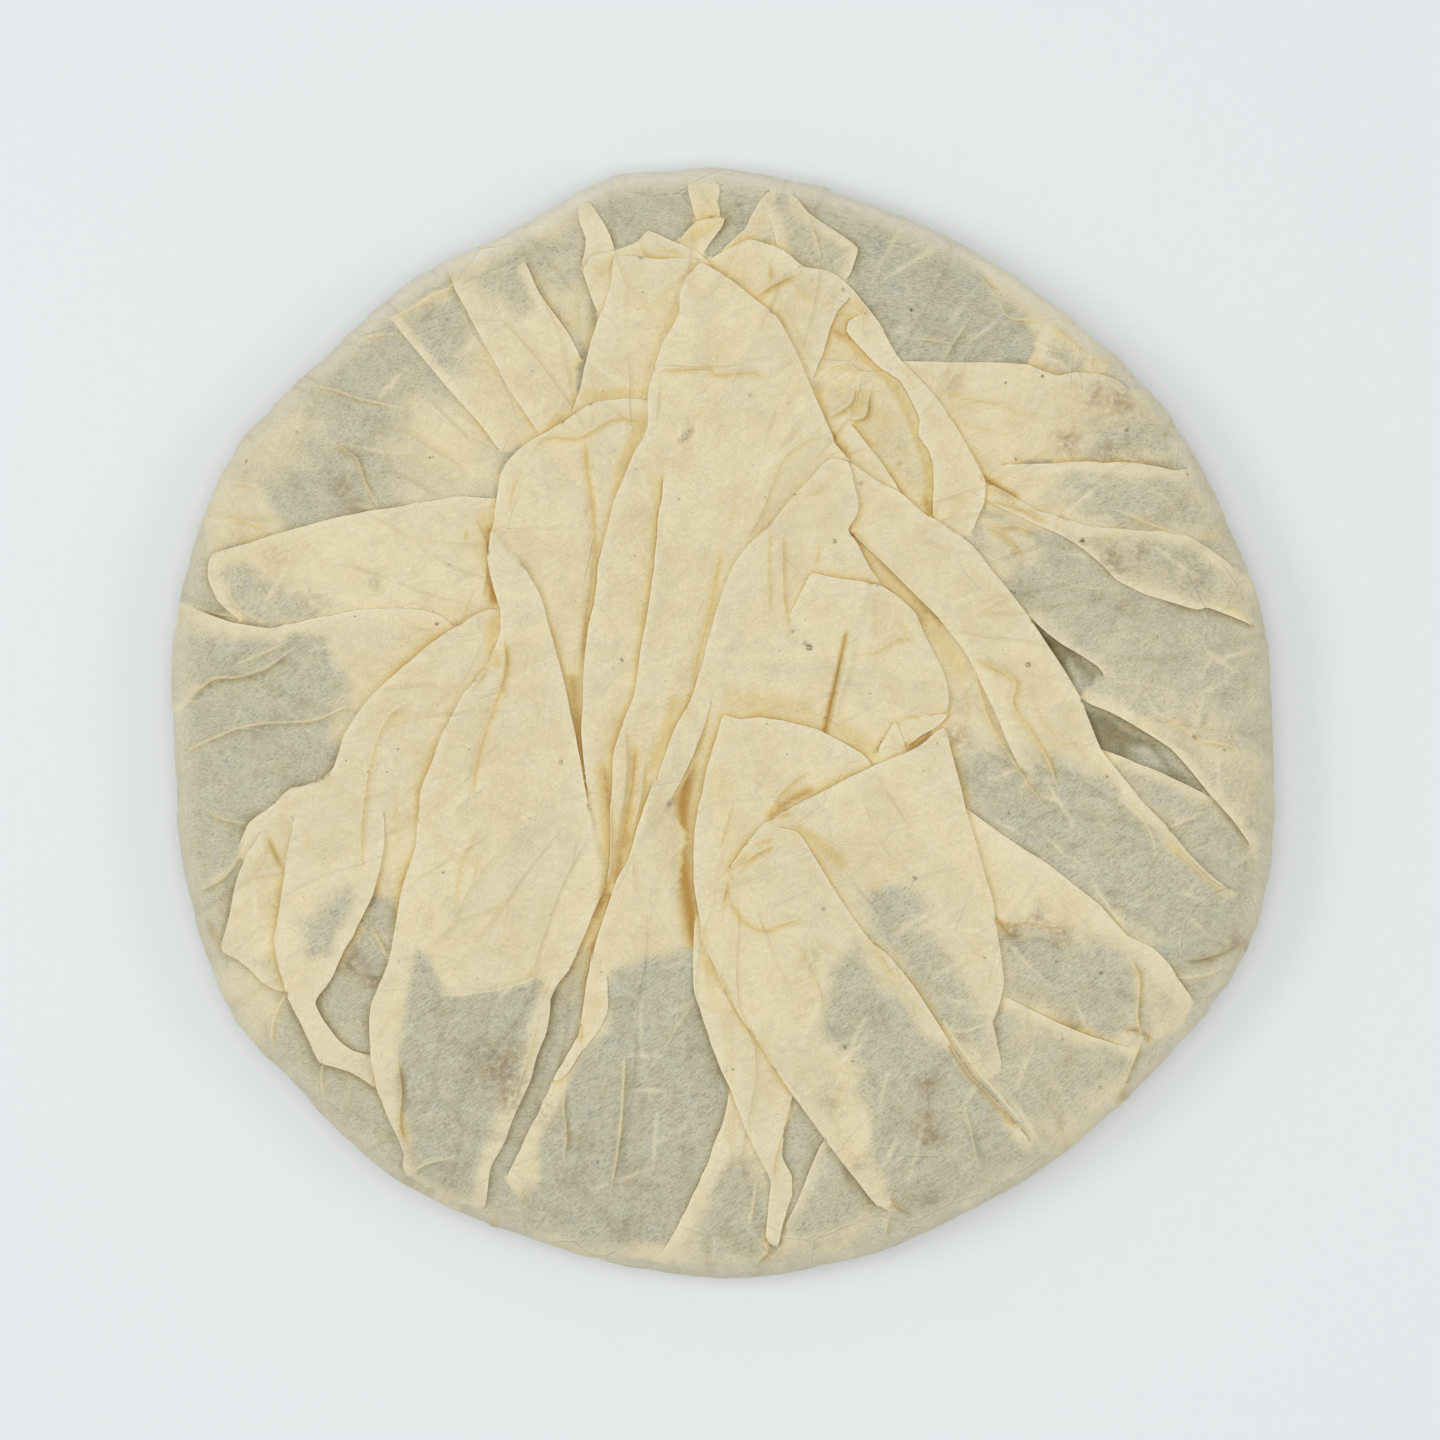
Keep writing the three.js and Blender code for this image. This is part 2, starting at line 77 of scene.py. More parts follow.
# The height map
MAP_HALF = 107.0        # it reaches this far from the middle
MAP_STEP = 0.25         # the size of its cells
SETTLE = 1.0            # how far a leaf smooths what it lies on
ROOT_TAPER = 6.0        # a step shrinks to nothing over this width at the leaf's root
END_TAPER = 3.0         # and a crease over this length at its ends
FINE_CREASES = 420
NOISE_CELLS = 128

# The mesh
POINT_SPACING = 0.86    # between points on open paper
UNDER_SPACING = 3.2     # between points on the flat spot underneath
ROW_SPACING = 0.8       # between points along a fold
OPEN_GAP = 0.42         # open paper keeps this far from the rows and specks
SPECK_GAP = 0.25        # and the specks this far from the rows
LIP = 0.3               # width of the rounded lip of a fold
UNDERCUT = 0.55         # how far the paper turns under at a fold, at most
TURN_PER_STEP = 0.55    # and for each millimetre of the fold's step
TUCK_ROW = -0.05        # the row of points that turns under starts this far out from the fold
FOOT_ROW = -0.5         # and the row on the layer below lies this far out
NOSE_OUT = -0.06        # the fold's nose stands out this far
NOSE_DROP = 0.22        # and hangs down by this share of its step, or of 1 if that is less
READ_INSIDE = 0.35      # the nose takes its height this far inside the fold
READ_OUTSIDE = -0.3     # and the row that turns under takes its own this far out
CREASE_ROW = 0.3        # rows of points lie this far to either side of a crease
CROWD_CELL = 1.2        # folds are filed in cells of this size
CROWD_SQUARE = 1.4      # the square of the distance at which two folds leave no room to turn under
SHOW_STEP = 0.07        # a fold is cut into the mesh where its step is higher than this
TOP_EDGE = 0.982        # share of the radius at which the side takes over from the top
ROW_EDGE = TOP_EDGE - 0.012
RIM_POINTS = 860        # points round the rim
RIM_ANGLES = np.arange(RIM_POINTS) / RIM_POINTS * 2 * math.pi

# Fibres are drawn in coordinates along the paper. These numbers set its parts apart in them,
# so that no part repeats the fibres of another.
LIE_PER_TURN = 40
LIE_PER_RING = 20
SIDE_LIE = 90.0
UNDER_LIE = 150.0

# What a point of the mesh belongs to: open paper, or one of the rows along a fold or crease
OPEN, LIP_TOP, NOSE, TUCK, CREST, FOOT = range(6)


def smooth_between(low, high, value):
    t = np.clip((value - low) / (high - low), 0, 1)
    return t * t * (3 - 2 * t)


def soft_noise(x, y, size, seed):
    """Smooth noise from -1 to 1 with bumps about size millimetres across."""
    table = np.random.default_rng(seed).uniform(-1, 1, (NOISE_CELLS, NOISE_CELLS))
    u = x / size + 4 * NOISE_CELLS
    v = y / size + 4 * NOISE_CELLS
    column = np.floor(u).astype(int)
    row = np.floor(v).astype(int)
    s = smooth_between(0, 1, u - column)
    t = smooth_between(0, 1, v - row)

    def at(i, j):
        return table[j % NOISE_CELLS, i % NOISE_CELLS]

    left = at(column, row) * (1 - t) + at(column, row + 1) * t
    right = at(column + 1, row) * (1 - t) + at(column + 1, row + 1) * t
    return left * (1 - s) + right * s


def crumple(x, y, size, seed):
    """Noise with sharp ridges and broad hollows, as in paper that was crumpled and smoothed out."""
    return 0.5 - np.abs(soft_noise(x, y, size, seed)) ** 0.8


def blend(p, q, t, start, end):
    """The point that lies between p and q as t lies between start and end."""
    return p + (q - p) * (t - start) / (end - start)


def curve_through(points, spacing, closed=False):
    """Points at an even spacing on a smooth curve through the given ones."""
    given = np.array(points, float)
    if len(given) < 3 and not closed:
        steps = max(2, int(np.hypot(*(given[1] - given[0])) / spacing) + 1)
        return given[0] + (given[1] - given[0]) * np.linspace(0, 1, steps)[:, None]
    if closed:
        ring = np.vstack([given[-1], given, given[0], given[1]])
    else:
        ring = np.vstack([2 * given[0] - given[1], given, 2 * given[-1] - given[-2]])
    pieces = []
    for a, b, c, d in zip(ring[:-3], ring[1:-2], ring[2:-1], ring[3:]):
        roots = [np.hypot(*(q - p)) ** 0.5 for p, q in ((a, b), (b, c), (c, d))]
        k0, k1, k2, k3 = np.cumsum([0] + roots)
        t = np.linspace(k1, k2, 9)[:-1, None]
        bc = blend(b, c, t, k1, k2)
        abc = blend(blend(a, b, t, k0, k1), bc, t, k0, k2)
        bcd = blend(bc, blend(c, d, t, k2, k3), t, k1, k3)
        pieces.append(blend(abc, bcd, t, k1, k2))
    fine = np.vstack(pieces + [given[:1] if closed else given[-1:]])
    along = np.concatenate([[0], np.cumsum(np.hypot(*np.diff(fine, axis=0).T))])
    at = np.linspace(0, along[-1], max(2, int(round(along[-1] / spacing)) + 1))
    return np.stack([np.interp(at, along, fine[:, k]) for k in (0, 1)], 1)


def fold_through(points, spacing):
    """A line between the given points as paper folds: half way from straight runs to a curve."""
    curve = curve_through(points, spacing)
    given = np.array(points, float)
    nearest_given = [int(np.argmin(np.hypot(*(curve - p).T))) for p in given]
    nearest_given[0] = 0
    nearest_given[-1] = len(curve) - 1
    kinds, first = np.unique(np.maximum.accumulate(nearest_given), return_index=True)
    at = np.arange(len(curve))
    straight = np.stack([np.interp(at, kinds, given[first, k]) for k in (0, 1)], 1)
    return 0.5 * (curve + straight)


def distance_to_line(x, y, line):
    nearest = np.full(np.shape(x), 1e9)
    for (ax, ay), (bx, by) in zip(line[:-1], line[1:]):
        dx = bx - ax
        dy = by - ay
        along = np.clip(((x - ax) * dx + (y - ay) * dy) / max(dx * dx + dy * dy, 1e-9), 0, 1)
        nearest = np.minimum(nearest, np.hypot(x - ax - along * dx, y - ay - along * dy))
    return nearest


def distance_to_ring(x, y, ring):
    return distance_to_line(x, y, np.vstack([ring, ring[:1]]))


def inside_outline(x, y, outline):
    inside = np.zeros(np.shape(x), bool)
    for (ax, ay), (bx, by) in zip(outline, np.roll(outline, 1, axis=0)):
        if ay != by:
            inside ^= ((ay > y) != (by > y)) & (x < (bx - ax) * (y - ay) / (by - ay) + ax)
    return inside


def along_and_across(x, y, cosine, sine):
    """Coordinates turned so that the first runs along a direction."""
    return x * cosine + y * sine, -x * sine + y * cosine


def taper(x, y, start, end):
    """Grows from 0 at either end of a crease to 1 further along."""
    ends = np.minimum(np.hypot(x - start[0], y - start[1]), np.hypot(x - end[0], y - end[1]))
    return np.clip(ends / END_TAPER, 0, 1)


def bell(distance, width):
    return np.exp(-(distance / width) ** 2)


def raise_to(field, area, value):
    """Lifts a part of a field to at least the value."""
    field[area] = np.maximum(field[area], value)


def soften(field, radius):
    """A blur of about the given radius, by three running means each way."""
    reach = max(1, int(round(radius / MAP_STEP / 1.7)))
    span = 2 * reach + 1
    for _ in range(3):
        for axis in (0, 1):
            width = [(0, 0), (0, 0)]
            width[axis] = (reach + 1, reach)
            total = np.cumsum(np.pad(field, width, mode="edge"), axis=axis)
            later = np.take(total, np.arange(span, total.shape[axis]), axis=axis)
            sooner = np.take(total, np.arange(0, total.shape[axis] - span), axis=axis)
            field = (later - sooner) / span
    return field


rim_curve = curve_through(RIM, 1.0, closed=True)
rim_angles = np.arctan2(rim_curve[:, 1], rim_curve[:, 0])
rim_order = np.argsort(rim_angles)
rim_radii = np.hypot(*rim_curve.T)[rim_order] + AIR_UNDER_RIM_PAPER
rim_angles = rim_angles[rim_order]


def rim_radius(angle):
    return np.interp(angle, rim_angles, rim_radii, period=2 * math.pi)


def share_of_radius(x, y):
    return np.minimum(1, np.hypot(x, y) / rim_radius(np.arctan2(y, x)))


def shoulder_height(share):
    return RIM_HEIGHT + (CROWN_HEIGHT - RIM_HEIGHT) * np.sqrt(1 - share ** SHOULDER_POWER)


def cake_top(x, y):
    dish = DISH_DEPTH * np.exp(-(x * x + y * y) / DISH_RADIUS ** 2)
    return shoulder_height(share_of_radius(x, y)) - dish


def rim_wrinkles(angle, share):
    """Short creases that run over the rim, stronger near the widest line."""
    across = angle * 100
    crease = soft_noise(across, share * 60, 3.4, 11) + 0.5 * soft_noise(across, share * 90, 1.7, 12)
    return 0.2 * crease * smooth_between(0.86, 0.97, share)


class PaperMap:
    """Height and colour of the paper over the cake, as the leaves of the fold are laid on it."""

    def __init__(self):
        ticks = np.arange(-MAP_HALF, MAP_HALF + MAP_STEP, MAP_STEP)
        self.x, self.y = np.meshgrid(ticks, ticks)
        self.share = share_of_radius(self.x, self.y)
        lumps = 0.2 * soft_noise(self.x, self.y, 8, 1) + 0.12 * soft_noise(self.x, self.y, 3.6, 2)
        self.height = cake_top(self.x, self.y) + lumps
        self.height += rim_wrinkles(np.arctan2(self.y, self.x), self.share)
        self.veil = 0.1 + 0.75 * smooth_between(0.4, 0.6, self.share)
        # tint is yellow-brown painted shade beside folds and in creases, furrows and hollows; edge is the
        # pale hem of doubled paper, with painted highlights along crests
        self.edge, self.tint, self.stain = (np.zeros(self.x.shape) for _ in range(3))
        self.grain = np.full(self.x.shape, math.radians(20))
        self.hatch = np.radians(20 - 14 * smooth_between(0, 30, self.x) * smooth_between(40, 60, self.y))
        self.layer = np.zeros(self.x.shape, int)
        self.fold_lines = []
        self.crease_lines = []
        self.count = 0

    def near(self, points, margin):
        """The part of the map round some points, and the places of its cells."""
        cells = self.x.shape[0]
        low = np.min(points, axis=0) - margin
        high = np.max(points, axis=0) + margin
        first = np.clip(((low + MAP_HALF) / MAP_STEP).astype(int), 0, cells - 1)
        last = np.clip(((high + MAP_HALF) / MAP_STEP).astype(int) + 2, 1, cells)
        area = slice(first[1], last[1]), slice(first[0], last[0])
        return area, self.x[area], self.y[area]

    def sample(self, field, x, y):
        """A field's value at any place, worked out between its cells."""
        u = np.clip((x + MAP_HALF) / MAP_STEP, 0, field.shape[1] - 1.001)
        v = np.clip((y + MAP_HALF) / MAP_STEP, 0, field.shape[0] - 1.001)
        i = u.astype(int)
        j = v.astype(int)
        s = u - i
        t = v - j
        low = field[j, i] * (1 - s) + field[j, i + 1] * s
        high = field[j + 1, i] * (1 - s) + field[j + 1, i + 1] * s
        return low * (1 - t) + high * t

    def nearest(self, field, x, y):
        """A field's value in the cell nearest to a place."""
        i = np.clip(np.rint((x + MAP_HALF) / MAP_STEP).astype(int), 0, field.shape[1] - 1)
        j = np.clip(np.rint((y + MAP_HALF) / MAP_STEP).astype(int), 0, field.shape[0] - 1)
        return field[j, i]

    def fold_line(self, fold):
        """A leaf's fold with a slight wobble of its own."""
        line = fold_through(fold, ROW_SPACING)
        wobble = 0.2 * soft_noise(line[:, 0], line[:, 1], 6, 31 + self.count)
        wobble += 0.1 * soft_noise(line[:, 0], line[:, 1], 2.2, 131 + self.count)
        return line + np.stack([wobble, -wobble], 1)

    def ripples(self, x, y, turn):
        """Low waves and crumples that run the way the leaf's paper lies."""
        along, across = along_and_across(x, y, math.cos(turn), math.sin(turn))
        ripple = 0.5 * crumple(along / 5, across, 6.5, 60 + self.count)
        ripple += 0.32 * crumple(along / 2, across, 7.5, 160 + self.count)
        ripple += 0.08 * soft_noise(along / 5, across, 1.6, 260 + self.count)
        return ripple

    def fold_shadow(self, x, y, distance, gap, gap_width):
        """The uneven brown shade that a fold throws on what lies beside it."""
        shadow = gap * (1.5 * np.exp(-distance / 0.3) + 0.55 * np.exp(-distance / (1.3 * gap_width)))
        mood = 0.8 + 1.1 * soft_noise(x, y, 11, 401 + self.count)
        mood = mood + 0.4 * soft_noise(x, y, 4, 501 + self.count)
        return shadow, np.clip(mood, 0.12 + 0.6 * gap, 1.7)

    def leaf(self, step, fade, fold, root=(), veil=0.0, grain=0.0, gap=0.35, gap_width=1.2, edge=0.75,
             edge_width=1.6, loose=1.0, hatch=35.0):
        """One leaf of folded paper: its step at the fold, how far back that fades out, the fold,
        and the points that close its outline. Veil is how far the tea shows through it, gap how
        dark the shade beside it is, edge how pale its hem, loose how much it ripples, grain the
        way its ripples run and hatch the way its fibres lie, in degrees."""
        self.count += 1
        line = self.fold_line(fold)
        root = np.array(root, float).reshape(-1, 2)
        outline = np.vstack([line, root])
        area, x, y = self.near(outline, 8)
        inside = inside_outline(x, y, outline)
        distance = distance_to_line(x, y, line)
        lift = step * np.clip(1 - (distance / fade) ** 2, 0, 1)
        lift = lift * (1 - 0.85 * smooth_between(0.955, 0.985, self.share[area]))
        if len(root):
            from_root = distance_to_line(x, y, np.vstack([line[-1], root, line[0]]))
            lift = lift * np.clip(from_root / ROOT_TAPER, 0, 1)
        strength = np.clip(lift / step * 1.6, 0, 1)

        # What lies below shows through this leaf only as a soft swell
        settled = soften(self.height[area], SETTLE) * strength + self.height[area] * (1 - strength)
        turn = math.radians(grain)
        curl = 0.03 * step * bell(distance, 1.3)
        laid = settled + lift + (self.ripples(x, y, turn) * loose + curl) * strength
        shadow, mood = self.fold_shadow(x, y, distance, gap, gap_width)
        raise_to(self.tint, area, shadow * np.clip(strength + 0.2, 0, 1) * mood)
        uneven = edge_width * (1 + 0.35 * soft_noise(x, y, 6, 71))
        hem = 0.85 * edge * smooth_between(1.7 * uneven, 0.4 * uneven, distance)
        for field, value in ((self.height, laid), (self.tint, 0.0), (self.edge, hem), (self.veil, veil),
                             (self.stain, self.stain[area] * 0.2), (self.grain, turn),
                             (self.hatch, math.radians(hatch)), (self.layer, self.count)):
            field[area] = np.where(inside, value, field[area])
        self.fold_lines.append((self.count, line, outline))

    def crease(self, line, height, light=0.5, dark=0.2, half=0.6):
        """A ridge, or with a negative height a furrow, along a line on the topmost leaf. Light is how
        strong its painted crest highlight is, dark how strong the painted shade at its foot, and half its
        half width."""
        drawn = curve_through(line, ROW_SPACING)
        area, x, y = self.near(drawn, 4)
        distance = distance_to_line(x, y, drawn)
        alive = taper(x, y, drawn[0], drawn[-1])
        roof = 1.6 * np.clip(1 - distance / half, 0, 1) + 0.7 * bell(distance, 2.5 * half)
        self.height[area] += height * roof * alive
        # Painted highlight along the crest
        raise_to(self.edge, area, light * bell(distance, 0.34) * alive)
        # Painted shade at the foot, on the lower right side of the line
        ahead = distance_to_line(x - 0.35, y + 0.35, drawn)
        glow = bell(ahead, 0.35) + 0.3 * bell(ahead, 1.1)
        raise_to(self.tint, area, 1.45 * dark * glow * alive)
        self.crease_lines.append((self.count, drawn, light if height > 0 else 0.0,
                                  (-CREASE_ROW, 0.0, CREASE_ROW)))

    def random_walk(self, chance):
        """A line from a random place, mostly along the lie of its leaf, to that leaf's edge at most."""
        angle = chance.uniform(0, 2 * math.pi)
        away = rim_radius(angle) * 0.93 * math.sqrt(chance.uniform())
        x = away * math.cos(angle)
        y = away * math.sin(angle)
        layer = self.nearest(self.layer, x, y)
        turn = float(self.nearest(self.grain, x, y)) + chance.normal(0, 0.45)
        bend = chance.normal(0, 0.02)
        line = [(x, y)]
        reach = chance.uniform(3, 12)
        sign = chance.choice((-1, 1))
        for _ in range(int(reach)):
            x += math.cos(turn)
            y += math.sin(turn)
            turn += bend
            if self.nearest(self.layer, x, y) != layer:
                break
            line.append((x, y))
        return line, (x, y), layer, sign

    def fine_creases(self, number, seed):
        """Faint creases scattered over the leaves, raised ones with a painted highlight and pressed ones
        with painted shade.
        """
        chance = np.random.default_rng(seed)
        for _ in range(number):
            line, end, layer, sign = self.random_walk(chance)
            if len(line) < 4:
                continue
            drawn = np.array(line)
            area, x, y = self.near(drawn, 3)
            distance = distance_to_line(x, y, drawn)
            alive = taper(x, y, line[0], end) * (self.layer[area] == layer)
            self.height[area] += sign * 0.26 * np.clip(1 - distance / 1.2, 0, 1) * alive
            glow = 0.4 * bell(distance, 0.35) * alive
            # Painted highlight along a raised crease, painted shade along a pressed one
            if sign > 0:
                raise_to(self.edge, area, glow)
            else:
                raise_to(self.tint, area, 0.5 * glow)
            self.crease_lines.append((layer, drawn, 0.4 if sign > 0 else 0.0, (0.0,)))

    def window(self, outline, veil, soft=3.0):
        """A patch where the tea shows through more, or less, than round it."""
        ring = np.array(outline, float)
        area, x, y = self.near(ring, 1.5 * soft + 5)
        uneven = x + 1.6 * soft_noise(x, y, 7, 41), y + 1.6 * soft_noise(x, y, 7, 42)
        border = distance_to_ring(*uneven, ring)
        signed = np.where(inside_outline(*uneven, ring), border, -border)
        weight = smooth_between(-0.75 * soft, 0.75 * soft, signed)
        self.veil[area] = self.veil[area] * (1 - weight) + veil * weight

    def furrow(self, line, depth, width, strength):
        """A soft valley, with its own depth of yellow-brown shade."""
        drawn = curve_through(line, 1.5)
        area, x, y = self.near(drawn, 3 * width + 2)
        valley = bell(distance_to_line(x, y, drawn), width)
        self.height[area] -= depth * valley
        raise_to(self.tint, area, strength * valley)

    def shade(self, line, strength, width):
        """The shade of a furrow alone, along a fold gap."""
        self.furrow(line, 0.0, width, strength)

    def crumpled(self, outline, height, size, seed):
        """Sharp ridges with painted highlights and hollows with painted ochre shade over a patch of the
        topmost leaf.
        """
        ring = np.array(outline, float)
        area, x, y = self.near(ring, 4)
        weight = np.clip(distance_to_ring(x, y, ring) / 3, 0, 1) * inside_outline(x, y, ring)
        shift = 2 * soft_noise(x, y, 9, seed + 1)
        form = crumple(x + shift, y - shift, size, seed) + 0.5 * crumple(x, y, size / 2, seed + 2)
        self.height[area] += height * form * weight
        raise_to(self.tint, area, 0.25 * smooth_between(0.15, -0.35, form) * weight)
        raise_to(self.edge, area, 0.4 * smooth_between(0.45, 0.7, form) * weight)

    def slit(self, start, end, widths, depth, strength):
        """A narrow straight gap that changes in width from its start to its end, with painted shade in it.
        """
        a = np.array(start, float)
        b = np.array(end, float)
        area, x, y = self.near([a, b], 4)
        along = ((x - a[0]) * (b[0] - a[0]) + (y - a[1]) * (b[1] - a[1])) / ((b - a) ** 2).sum()
        half = widths[0] + (widths[1] - widths[0]) * np.clip(along, 0, 1)
        inside = np.clip(1.5 - distance_to_line(x, y, np.array([a, b])) / half, 0, 1)
        self.height[area] -= depth * inside
        raise_to(self.tint, area, strength * inside)
        steps = np.linspace(0, 1, int(math.dist(start, end) / ROW_SPACING))
        beside = widths[1] + 0.1
        self.crease_lines.append((self.count, a + (b - a) * steps[:, None], 0.0, (-beside, 0.0, beside)))

    def spot(self, x, y, radius, strength):
        """A brown stain with an uneven border."""
        area, gx, gy = self.near([(x, y)], radius * 2.5 + 3)
        uneven = 1 + 0.45 * soft_noise(gx, gy, radius * 0.8, 51) + 0.3 * soft_noise(gx, gy, radius * 0.3, 52)
        blot = bell(np.hypot(gx - x, gy - y), radius * np.clip(uneven, 0.3, 2))
        raise_to(self.stain, area, strength * blot)


def lay(mark, *rows):
    """Lays a mark of one kind for each row of its values."""
    for row in rows:
        mark(*row)


def lay_outer_panels(paper):
    """The single layer round the rim, and the first pleats over it."""
    lay(paper.window,
        ([(-58, 60), (-44, 58), (-40, 44), (-58, 41), (-62, 50)], 0.1, 9),
        ([(-96, 38), (-92, 50), (-80, 60), (-74, 57), (-82, 48), (-88, 38)], 0.35, 6),
        ([(-95.5, 46), (-87, 45), (-84.5, 40), (-82, 35.5), (-95, 31), (-97, 37)], 0.2, 2.5),
        ([(-36, 98), (-28, 95), (-26, 80), (-34, 86)], 0.45, 5),
        ([(20, 66), (56, 66), (58, 76), (44, 87), (24, 90)], 1.0, 4),
        ([(44, 92), (56, 86), (66, 79), (73, 71), (68, 68), (58, 72), (50, 82)], 0.1, 4),
        ([(-100, 10), (-86, 4), (-70, 4), (-70, -8), (-84, -14), (-98, -22)], 0.95, 5),
        ([(-100, -20), (-92, -20), (-93, -40), (-97, -36)], 0.8, 4),
        ([(-95, -46), (-86, -47), (-82, -56), (-88, -60)], 0.35, 4),
        ([(-82, -52), (-76, -60), (-80, -66), (-86, -60)], 0.8, 4),
        ([(-12, -18), (-3, -18), (-4, -42), (-14, -42)], 0.05, 3))
    lay(paper.spot,
        (-71, 44, 2.6, 0.95), (-68, 40.5, 1.6, 0.7), (-67.5, 51, 2.6, 0.8), (-52, 45, 3, 0.3),
        (-85.5, -1.5, 1.6, 0.5))
    lay(paper.crease,
        ([(-76, 62.8), (-72, 61.7), (-68, 60.3), (-60, 58.5)], 0.4),
        ([(-73, 52.5), (-70, 50.5), (-68, 49), (-66.5, 45), (-64, 40)], 0.4, 0.5, 0.3),
        ([(-70, 71.5), (-66, 72), (-60, 72.5)], 0.3),
        ([(-92, 44.8), (-89, 44.5), (-86, 43.5)], 0.3, 0.5, 0.25),
        ([(-93, 38), (-88, 37.3), (-83, 35.3)], 0.3, 0.5, 0.25),
        ([(-59, 76), (-57.5, 73), (-57, 71)], 0.2, 0.1, 0.3),
        ([(46, 75.5), (43, 71), (40.5, 67)], 0.4),
        ([(35, 71.5), (40, 70.8), (43, 70.2)], 0.2),
        ([(47, 85), (50, 82), (51, 79)], -0.2, 0, 0.3),
        ([(51, 79), (53, 75.5), (57, 75), (60, 75)], 0.2),
        ([(-101, -7), (-99, -5), (-95, -3), (-90, -1), (-85, 0), (-76, 0.5), (-70, 3), (-66.5, 4)], 0.5),
        ([(-97, -15), (-94, -17.5), (-88, -18.7)], 0.35, 0.5, 0.25),
        ([(-98.5, -31.5), (-94, -29.5), (-91.5, -27.5), (-89, -24), (-86, -21)], 0.3, 0.5, 0.3),
        ([(88, -3), (93, -4), (97, -6)], 0.3),
        ([(-18.3, -62), (-18.5, -68), (-19, -75), (-20, -82), (-21, -87)], 0.4))
    paper.leaf(0.8, 11, [(-62, 75.5), (-57.5, 70), (-50, 61), (-45, 55.5), (-41, 50)],
               [(-33, 53), (-40, 66), (-47, 77), (-52, 81), (-57, 78)], grain=50, gap=0.3, loose=0.6)
    paper.window([(-60, 75), (-50, 80.5), (-46, 72), (-47, 64), (-52, 63), (-58, 70)], 0.85, 5)
    paper.leaf(0.8, 11, [(-51.5, 85), (-50, 81), (-44, 70), (-40, 62.5), (-33.5, 52.8)],
               [(-27, 57), (-27, 68), (-33, 80), (-37, 88), (-42, 90)], grain=60, gap=0.3, loose=0.6)
    thin_panel = ([(-46, 83), (-38, 90), (-34, 86), (-32, 78), (-37, 74), (-44, 79)], 0.8, 6)
    paper.window(*thin_panel)
    paper.leaf(0.5, 9, [(-26, 67), (-28.5, 72), (-34, 79.5), (-37, 86)],
               [(-43, 84), (-41, 72), (-34, 62)], grain=60, gap=0.4, loose=0.6)
    lay(paper.window,
        thin_panel,
        ([(-36, 90), (-28, 92), (-25, 83), (-28, 78), (-34, 84)], 0.7, 4),
        ([(-34, 80), (-26, 80), (-24, 68), (-28, 70)], 0.2, 3))
    paper.shade([(-26.3, 66), (-24, 72), (-23.5, 78)], 0.45, 1.6)
    paper.crease([(-51.5, 85), (-50.5, 81), (-54, 79.5), (-57, 77.5), (-62, 75.5)], 0.3, 0.8)


def lay_top(paper):
    """The spurs, the tag and the twisted end above the crown."""
    paper.leaf(0.6, 30,
               [(-20, 87.7), (-22, 92.5), (-25.8, 98), (-26.8, 98), (-26.5, 93), (-25.5, 90), (-26.2, 84),
                (-23, 75.5)],
               [(-18, 76)], grain=80, edge_width=3)
    paper.leaf(0.5, 30,
               [(-0.3, 92), (-0.7, 97), (-1, 100.5), (-6.5, 101.5), (-6.5, 99), (-5.5, 94.5), (-5, 92)],
               [(-3, 88)], veil=0.25, grain=85)
    paper.crease([(-5.5, 97), (-3, 96.6), (-0.8, 97)], 0.2, 0.5, 0.1)
    paper.leaf(0.5, 12, [(9.5, 100.5), (6.5, 97), (5, 94), (4, 91.5), (0, 88)],
               [(4, 84), (10.5, 86), (9.5, 92)], veil=0.15, grain=70)
    paper.window([(5, 91), (8, 93), (9, 88), (6, 87)], 0.6, 2)
    paper.leaf(0.4, 8, [(8, 96), (9.5, 91), (10.5, 86)],
               [(16, 84), (15, 92), (11, 97)], veil=0.75, grain=70)
    paper.leaf(0.6, 14, [(22.5, 82), (25, 88), (22, 90.5), (16, 94.5), (13.5, 98), (12, 100.5)],
               [(12, 94), (15, 83)], veil=0.7, grain=60)
    paper.crease([(15.5, 94), (17, 90), (18, 86.5)], 0.3)
    paper.leaf(1.3, 30, [(-4, 87), (-0.5, 91.5), (0.3, 93.4), (-4.8, 93.2), (-8.3, 89.6)],
               [(-5, 86)], grain=40, gap=0.8, gap_width=2.0)
    paper.shade([(-7, 90), (-4, 91.5), (-1, 92.5)], 0.35, 1.8)
    paper.crease([(-6.5, 89.5), (-3.5, 91), (-1.5, 91.5)], -0.25, 0)


